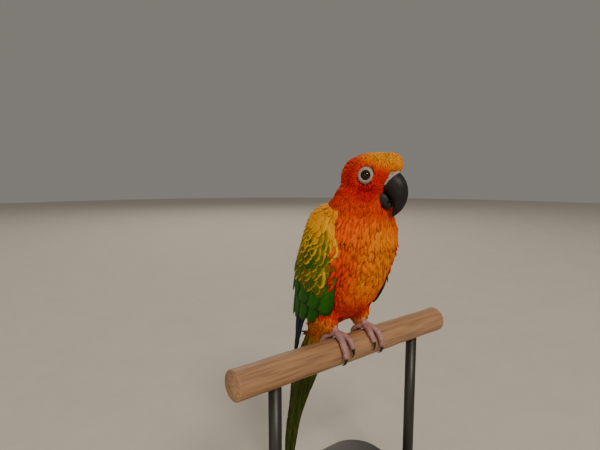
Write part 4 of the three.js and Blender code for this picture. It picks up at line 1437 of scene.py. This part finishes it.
def make_eyeball(name, middle, look, finish):
    """An eyeball with a raised cornea. Each point knows how far it lies from the middle of the pupil."""
    radius, around = EYE["ball"] - 0.08, 64
    polar = np.linspace(0.002, np.pi - 0.002, 48)
    cornea = 0.35 * ease(0.62, 0.2, polar)
    profile = np.column_stack([np.sin(polar) * (radius + cornea * 0.3), np.cos(polar) * (radius + cornea)])
    away = np.repeat(np.sin(polar) * radius + 10 * (polar > 1.5), around) / 4
    iris = np.column_stack([away, away * 0, away * 0])
    return tube_piece(name, lathe(profile, around, middle, look), finish, iris=iris)


def make_lids(name, middle, look, finish, rng):
    """The bare ring, creased in rings, with the lids as a swollen rim set with small beads."""
    opening, edge, seat = EYE["opening"], EYE["ring"], EYE["ball"] + 0.12
    rim = math.sqrt(seat**2 - opening**2)
    inside = (seat - 0.1, 0.2)
    section = [inside, *((edge + out, ahead) for out, ahead in RING_UNDER), (edge - 0.9, rim - 0.95)]
    section += [(opening + out, rim + ahead) for out, ahead in LIDS_OVER]
    section += [((opening + seat) / 2, rim * 0.72), inside]
    curve = spline([(out, ahead, 0) for out, ahead in section])
    profile = curve(np.linspace(0, 1, 61)[:-1])[:, :2]
    rings = lathe(profile, 96, middle, look)
    angle, out = turns(96), profile[:, :1]
    creases = 0.05 * np.sin(out * 9 + 2 * np.sin(angle * 3)) + 0.05 * np.sin(angle * 31)
    rings = rings + unit(rings - middle) * (creases * ease(3.0, 3.6, out))[..., None]
    piece = Piece()
    piece.add(*closed_tube(rings, ends=False))
    first, second = across_axis(look)
    polar = np.linspace(0.05, np.pi - 0.05, 7)
    for turned in 2 * np.pi * np.arange(LID_BEADS["count"]) / LID_BEADS["count"]:
        radius = LID_BEADS["radius"] * rng.uniform(0.8, 1.15)
        outward = first * math.cos(turned) + second * math.sin(turned)
        at = middle + look * (rim + 0.5) + outward * (opening + 0.42)
        bead = lathe(np.column_stack([np.sin(polar), np.cos(polar)]) * radius, 8, at, look)
        piece.add(*closed_tube(bead))
    return piece.build(name, finish)


class CONURE_OT_eyes(bpy.types.Operator):
    """Builds each eye, its lids and the bare ring of skin round it"""

    bl_idname = "conure.eyes"
    bl_label = "Eyes"

    def execute(self, context):
        ball_finish = eye_finish()
        ring_finish = bare_finish("bare skin", 0.6, 1600, 1.1)
        for salt, (name, side) in enumerate(SIDES.items()):
            middle, look = eye_axis(side)
            finish_piece(make_eyeball(f"eyeball_{name}", middle, look, ball_finish), "eye", f"eye_{name}")
            lids = make_lids(f"lids_{name}", middle, look, ring_finish, draws(30 + salt))
            finish_piece(lids, "bare_skin", f"eye_ring_{name}")
        return {"FINISHED"}


# Bill

class Horn(Line):
    """One half of the bill: sizes along a line in the head's middle plane. Angle 90 is its upper side."""

    def __init__(self, stations, shape):
        super().__init__([(0, -(forward + BILL_BASE), up) for forward, up, _, _ in stations])
        self.sizes = spline([(wide, high, 0) for _, _, wide, high in stations])
        self.shape = shape

    def point(self, share, angle, proud=0.0):
        """A point of the surface in the head's own frame, raised by the millimetres in proud."""
        share, angle, proud = np.broadcast_arrays(share, angle, proud)
        wide, high = self.shape(share, angle)
        size = self.sizes(share)
        aside = LEFT * (wide * (size[..., 0] + proud))[..., None]
        return self.at(share) + aside + self.up(share) * (high * (size[..., 1] + proud))[..., None]

    def up(self, share):
        return unit(np.cross(self.tangent(share), LEFT))

    def holds(self, points, room):
        """True for points of the head's own frame that lie within the horn, or within room of it."""
        shares = np.linspace(0, 1, 80)
        share = shares[self.nearest(points, shares)]
        across = points - self.at(share)
        size = self.sizes(share)[:, :2] + room
        off = np.hypot(across[:, 0] / size[:, 0], (across * self.up(share)).sum(1) / size[:, 1])
        return (off < 1) & (np.abs((across * self.tangent(share)).sum(1)) < 1)


def upper_shape(share, angle):
    """Flat flanks that meet in a blunt ridge along the top, and a thin cutting edge below with one tooth."""
    c, s = np.cos(angle), np.sin(angle)
    wide = np.sign(c) * np.abs(c) ** 0.86 * (1 - 0.16 * np.clip(s, 0, 1) ** 2)
    ridge = 0.07 * np.exp(-((c / 0.22) ** 2)) * (s > 0)
    tooth = 0.12 * np.exp(-(((share - 0.42) / 0.05) ** 2) - ((np.abs(c) - 0.75) / 0.3) ** 2) * (s < 0)
    return wide, s * (1 + ridge) - tooth


def lower_shape(share, angle):
    """A short scoop whose upper side stays inside the upper half of the bill."""
    c, s = np.cos(angle), np.sin(angle)
    return np.sign(c) * np.abs(c) ** 0.8, np.where(s > 0, s * lerp(0.95, 1.45, share), s)


upper_horn = Horn(UPPER_BILL, upper_shape)
lower_horn = Horn(LOWER_BILL, lower_shape)
CERE = {"start": 0.08, "stop": 0.225, "rise": 1.0, "bare": 1.35}
NOSTRIL = {"along": 0.74, "turned": 48, "radius": 0.75, "lip": 0.3, "deep": 1.2}


def nostril(side, proud=CERE["rise"]):
    """The middle of a nostril on the cere, in the head's own frame."""
    share = lerp(CERE["start"], CERE["stop"], NOSTRIL["along"])
    turned = math.radians(90 + side * (90 - NOSTRIL["turned"]))
    return upper_horn.point(np.array(share), np.array(turned), np.array(proud))


def make_cere(finish):
    """A swollen band of skin over the root of the bill, with a round nostril dented into each side."""
    steps = 90
    sweep = np.linspace(math.radians(-14), math.radians(194), steps)[:, None]
    turned = turns(32)
    thin = np.sqrt(np.sin(np.linspace(0.1, np.pi - 0.1, steps)))[:, None]
    middle, half = (CERE["start"] + CERE["stop"]) / 2, (CERE["stop"] - CERE["start"]) / 2
    share = middle + half * np.cos(turned) * lerp(0.5, 1, thin)
    rings = upper_horn.point(share, sweep, CERE["rise"] * np.sin(turned) * thin)
    outward = unit(upper_horn.point(share, sweep, 1.0) - upper_horn.point(share, sweep, 0.0))
    for side in (-1, 1):
        off = np.linalg.norm(rings - nostril(side), axis=-1)
        lip = NOSTRIL["lip"] * np.exp(-(((off - NOSTRIL["radius"] - 0.3) / 0.3) ** 2))
        sink = NOSTRIL["deep"] * ease(NOSTRIL["radius"], NOSTRIL["radius"] * 0.5, off)
        rings = rings + outward * (lip - sink)[..., None]
    return tube_piece("cere_band", from_head(rings), finish)


class CONURE_OT_bill(bpy.types.Operator):
    """Builds both halves of the bill, and the cere with its nostrils"""

    bl_idname = "conure.bill"
    bl_label = "Bill"

    def execute(self, context):
        finish = horn_finish("bill horn", colour("horn"), 0.5)
        share = np.linspace(0, 1, 56)[:, None]
        halves = (("bill_hook", upper_horn, "bill_upper"), ("bill_scoop", lower_horn, "bill_lower"))
        for name, horn, node in halves:
            rings = from_head(horn.point(share, turns(64)))
            finish_piece(tube_piece(name, rings, finish), "bill", node)
        finish_piece(make_cere(bare_finish("cere skin", 0.65, 1500, 1.08)), "bare_skin", "cere")
        return {"FINISHED"}


# Feet

TOE_STATIONS, SHANK_STATIONS, TOE_SIDES = 96, 70, 28
SHANK_PLATES = 16


def round_perch(x, angle, off):
    """A point round the perch: the angle runs from its top towards the breast."""
    reach = PERCH_RADIUS + off
    return np.stack([x + 0 * angle, -np.sin(angle) * reach, np.cos(angle) * reach], -1)


def toe_line(side, toe, shares):
    """The toe's middle line on the perch at shares of its length; past 1 it runs on into the claw."""
    _, ahead, aside, length, thick, _ = toe
    rest = thick + GAP * 0.6
    reach = length / (PERCH_RADIUS + rest)
    start = -FOOT["y"] / (PERCH_RADIUS + rest)
    out = aside * FOOT["spread"] * np.minimum(1, np.maximum(shares, 0) * 1.6) ** 0.8
    return round_perch(side * (LEG_APART / 2 + out), start + ahead * reach * shares, rest)


def tube_rings(line, radius, around, up_hint):
    """Rings along a line of points. radius(share, turned) is the half thickness, with turned 1 towards the
    hint and -1 away from it."""
    along = unit(np.gradient(line, axis=0))
    hint = unit(up_hint - along * (up_hint * along).sum(-1, keepdims=True))
    other = np.cross(along, hint)
    angle = turns(around)
    size = radius(np.linspace(0, 1, len(line))[:, None], np.cos(angle))[..., None]
    out = hint[:, None] * np.cos(angle)[..., None] + other[:, None] * np.sin(angle)[..., None]
    return line[:, None] + out * size


def plates(share, count, rise):
    """A run of overlapping plates: each rises along the toe and drops at its edge."""
    within = (share * count) % 1
    return rise * (within**0.7 - ease(0.86, 1.0, within))


def plate_shade(stations, count, dark):
    """A grey for each point of a foot's tube: painted shade that darkens the edges of its plates."""
    within = (np.linspace(0, 1, stations) * count) % 1
    return np.repeat(lerp(1, dark, ease(0.8, 0.97, within)), TOE_SIDES)[:, None] * np.ones(3)


def toe_radius(share, turned, thick, count):
    """A toe's half thickness: plates on top, pads and a flat beneath, and a rounded end."""
    pads = 0.07 * np.cos(share * 19) * ease(0.2, -0.6, turned)
    end = np.sqrt(np.clip((1.02 - share) / 0.1, 0.02, 1))
    flat = 1 - 0.1 * ease(-0.6, -1, turned)
    top = plates(share, count, 0.2) * ease(-0.1, 0.5, turned)
    return (thick * (1.0 - 0.2 * share) * flat * (1 + pads) + top) * end


def shank_radius(share, turned):
    """The shank's half thickness, narrowest half way up, with plates on its front."""
    front = plates(share, SHANK_PLATES, 0.16) * ease(0.2, 0.8, turned)
    return FOOT["shank"] * (1.02 - 0.2 * np.sin(np.pi * share)) + front


def claw_radius(share, turned, thick):
    """A claw's half thickness, falling to a point, with a groove beneath."""
    return lerp(thick * 0.66, 0.16, share**0.85) * (1 - 0.18 * ease(-0.75, -1, turned))


def make_foot(name, side, finish):
    """Four toes round the perch and the shank above them, with plates along their tops and pads beneath."""
    piece = Piece()
    for toe in TOES:
        _, _, _, length, thick, _ = toe
        count = int(length * 0.85)
        line = toe_line(side, toe, np.linspace(-0.12, 1.03, TOE_STATIONS))
        radius = partial(toe_radius, thick=thick, count=count)
        rings = tube_rings(line, radius, TOE_SIDES, unit(line * (0, 1, 1)))
        piece.add(*closed_tube(rings), shade=plate_shade(TOE_STATIONS, count, 0.62))
    top = PERCH_RADIUS + FOOT["over"]
    shank = spline([(0, FOOT["y"] - 0.4, top + 0.2), (0.4, FOOT["y"] + 2.6, top + 5.3), ANKLE])
    line = (shank(np.linspace(0, 1, SHANK_STATIONS)) + LEFT * LEG_APART / 2) * (side, 1, 1)
    rings = tube_rings(line, shank_radius, TOE_SIDES, np.array((0.0, -1.0, 0.3)))
    piece.add(*closed_tube(rings), shade=plate_shade(SHANK_STATIONS, SHANK_PLATES, 0.7))
    return piece.build(name, finish)


def make_claw(name, side, toe, finish):
    """One curved claw, round on top and grooved beneath."""
    _, _, _, length, thick, reach = toe
    line = toe_line(side, toe, np.linspace(0.94, 1 + reach / length, 40))
    outward = unit(line * (0, 1, 1))
    share = np.linspace(0, 1, 40)
    line = line + outward * (0.9 * np.sin(share * np.pi) - share * (thick - 0.75))[:, None]
    return tube_piece(name, tube_rings(line, partial(claw_radius, thick=thick), 20, outward), finish)


class CONURE_OT_feet(bpy.types.Operator):
    """Builds both feet and their claws"""

    bl_idname = "conure.feet"
    bl_label = "Feet"

    def execute(self, context):
        finish = scaly_finish()
        claw_finish = horn_finish("claw horn", colour("claw"), 0.35)
        for name, side in SIDES.items():
            finish_piece(make_foot(f"toes_{name}", side, finish), "foot_skin", f"foot_{name}")
            for toe in TOES:
                claw = make_claw(f"talon_{toe[0]}_{name}", side, toe, claw_finish)
                finish_piece(claw, "claw", f"claw_{toe[0]}_{name}")
        return {"FINISHED"}


# Perch and stand

CHAMFER = 0.7
BASE = {"corner": 26, "edge": 1.5}
SEAT = 0.1
# Foot of a rod: how much wider than the rod, and how high up
ROD_FOOT = ((1.6, 0), (1.5, 0.8), (0.5, 1.6), (0, 3), (0, 40))


def box_of(node):
    """The low and high corners of a node's box, in the bird's frame."""
    return (np.array(corner) / MM - PERCH_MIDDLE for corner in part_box(node))


def branch_rings():
    """The perch as a lathed rod with bevelled ends, its side a little uneven."""
    half = PERCH_LENGTH / 2
    end = [(0.05, -half), (PERCH_RADIUS - CHAMFER, -half), (PERCH_RADIUS, CHAMFER - half)]
    along = np.linspace(2 * CHAMFER - half, half - 2 * CHAMFER, 150)
    profile = np.array(end + [(PERCH_RADIUS, x) for x in along] + [(out, -x) for out, x in reversed(end)])
    rings = lathe(profile, 72, np.zeros(3), LEFT)
    angle, x = turns(72), profile[:, 1:]
    swell = 0.1 * np.sin(x * 0.08 + 1.3 * np.sin(angle)) + 0.06 * np.sin(x * 0.21 + 2 * angle) - 0.16
    on_side = profile[:, :1] > PERCH_RADIUS - 0.01
    return rings + unit(rings * (0, 1, 1)) * (swell * on_side)[..., None]


def base_rings():
    """The base as a plate with round corners and a rounded edge."""
    low, high = box_of("stand_base")
    middle, half = (low + high) / 2, (high - low) / 2
    corner, edge = BASE["corner"], BASE["edge"]
    angle = turns(120)
    turned = np.radians(np.linspace(-90, 90, 14))[:, None]
    around = corner - edge * (1 - np.cos(turned))
    x, y = (
        np.sign(way) * (half[k] - corner) + way * around + middle[k]
        for k, way in enumerate((np.cos(angle), np.sin(angle)))
    )
    z = np.where(turned < 0, low[2] + edge, high[2] - edge) + edge * np.sin(turned)
    return np.stack([x, y, z + 0 * angle], -1)


def rod_rings(node):
    """A rod with a flared foot on the base and a top that is cut to the round of the perch."""
    low, high = box_of(node)
    x, y, _ = (low + high) / 2
    radius = (high[0] - low[0]) / 2
    seat = PERCH_RADIUS + SEAT
    profile = [(radius + wider, low[2] + up) for wider, up in ROD_FOOT]
    profile.append((radius, -math.sqrt(seat**2 - radius**2)))
    rings = lathe(profile, 40, np.array((x, y, 0)), (0, 0, 1.0))
    rings[-1, :, 2] = -np.sqrt(seat**2 - (rings[-1, :, 1] - y) ** 2)
    return rings


class CONURE_OT_perch(bpy.types.Operator):
    """Builds the cut length of branch that the bird grips"""

    bl_idname = "conure.perch"
    bl_label = "Perch"

    def execute(self, context):
        finish_piece(tube_piece("branch", branch_rings(), wood_finish()), "perch_wood", "perch")
        return {"FINISHED"}


class CONURE_OT_stand(bpy.types.Operator):
    """Builds the flat base and the two rods that hold the perch"""

    bl_idname = "conure.stand"
    bl_label = "Stand"

    def execute(self, context):
        finish = spotted_finish("stand paint", colour("paint"), 0.42, 900, 0.00006, 0.85, 1.12)
        finish_piece(tube_piece("stand_plate", base_rings(), finish), "stand", "stand_base")
        for name in SIDES:
            node = f"stand_rod_{name}"
            finish_piece(tube_piece(f"stand_post_{name}", rod_rings(node), finish), "stand", node)
        return {"FINISHED"}


# Stage

CAMERA = {"place": (-201.7, -202.4, 115.5), "azimuth": 38, "down": 7, "lens": 26.82, "sensor": 36}
# Lights, in metres: name, place, size and power in watts
LIGHTS = (
    ("key", (-0.6, -2.1, 2.1), 0.7, 46),
    ("fill", (-2.1, -0.6, 0.9), 1.6, 8),
    ("back", (1.1, 1.9, 1.7), 1.2, 18),
)
LIT_PLACE = Vector((0, 0, 0.17))
FLOOR_RADIUS = 4.0


class CONURE_OT_stage(bpy.types.Operator):
    """Sets the floor, the soft lights and the camera"""

    bl_idname = "conure.stage"
    bl_label = "Stage"

    def execute(self, context):
        place = {"radius": FLOOR_RADIUS, "location": (0, 0, 0)}
        bpy.ops.mesh.primitive_circle_add(vertices=96, fill_type="NGON", **place)
        floor = context.object
        floor.name = "floor"
        floor.data.materials.append(spotted_finish("floor", colour("floor"), 0.85, 60, 0.0001, 0.97, 1.02))
        world = bpy.data.worlds.new("studio")
        world.use_nodes = True
        sky = world.node_tree.nodes["Background"].inputs
        sky["Color"].default_value = (0.9, 0.84, 0.76, 1)
        sky["Strength"].default_value = 0.24
        context.scene.world = world
        for name, place, size, power in LIGHTS:
            lamp = bpy.data.lights.new(name, "AREA")
            lamp.size, lamp.energy, lamp.color = size, power, (1.0, 0.9, 0.76)
            light = placed(name, lamp)
            light.location = place
            light.rotation_euler = (LIT_PLACE - Vector(place)).to_track_quat("-Z", "Y").to_euler()
        camera = placed("camera", bpy.data.cameras.new("camera"))
        turned, down = math.radians(CAMERA["azimuth"]), math.radians(CAMERA["down"])
        level = math.cos(down)
        ahead = Vector((math.sin(turned) * level, math.cos(turned) * level, -math.sin(down)))
        camera.location = metres(np.array(CAMERA["place"]))
        camera.rotation_euler = ahead.to_track_quat("-Z", "Y").to_euler()
        camera.data.lens, camera.data.sensor_width = CAMERA["lens"], CAMERA["sensor"]
        camera.data.clip_start = 0.01
        context.scene.camera = camera
        return {"FINISHED"}


class CONURE_PT_panel(bpy.types.Panel):
    """Lists the conure's pieces and settings"""

    bl_idname = "CONURE_PT_panel"
    bl_label = "Perched Conure"
    bl_space_type = "VIEW_3D"
    bl_region_type = "UI"
    bl_category = "Conure"

    def draw(self, context):
        for operator in OPERATORS:
            self.layout.operator(operator.bl_idname)
        for group in (context.scene.conure_sizes, context.scene.conure_colours):
            for key in group.__annotations__:
                self.layout.prop(group, key)


OPERATORS = (
    CONURE_OT_skin,
    CONURE_OT_coat,
    CONURE_OT_wings,
    CONURE_OT_tail,
    CONURE_OT_eyes,
    CONURE_OT_bill,
    CONURE_OT_feet,
    CONURE_OT_perch,
    CONURE_OT_stand,
    CONURE_OT_stage,
)
CLASSES = (ConureColours, ConureSizes, *OPERATORS, CONURE_PT_panel)


def register():
    """Registers the classes and their settings."""
    for cls in CLASSES:
        bpy.utils.register_class(cls)
    bpy.types.Scene.conure_colours = bpy.props.PointerProperty(type=ConureColours)
    bpy.types.Scene.conure_sizes = bpy.props.PointerProperty(type=ConureSizes)


def unregister():
    """Takes the settings and the classes away again."""
    del bpy.types.Scene.conure_sizes
    del bpy.types.Scene.conure_colours
    for cls in reversed(CLASSES):
        bpy.utils.unregister_class(cls)


def main():
    """Builds every piece in order."""
    register()
    for operator in OPERATORS:
        group, name = operator.bl_idname.split(".")
        getattr(getattr(bpy.ops, group), name)()


if __name__ == "__main__":
    main()
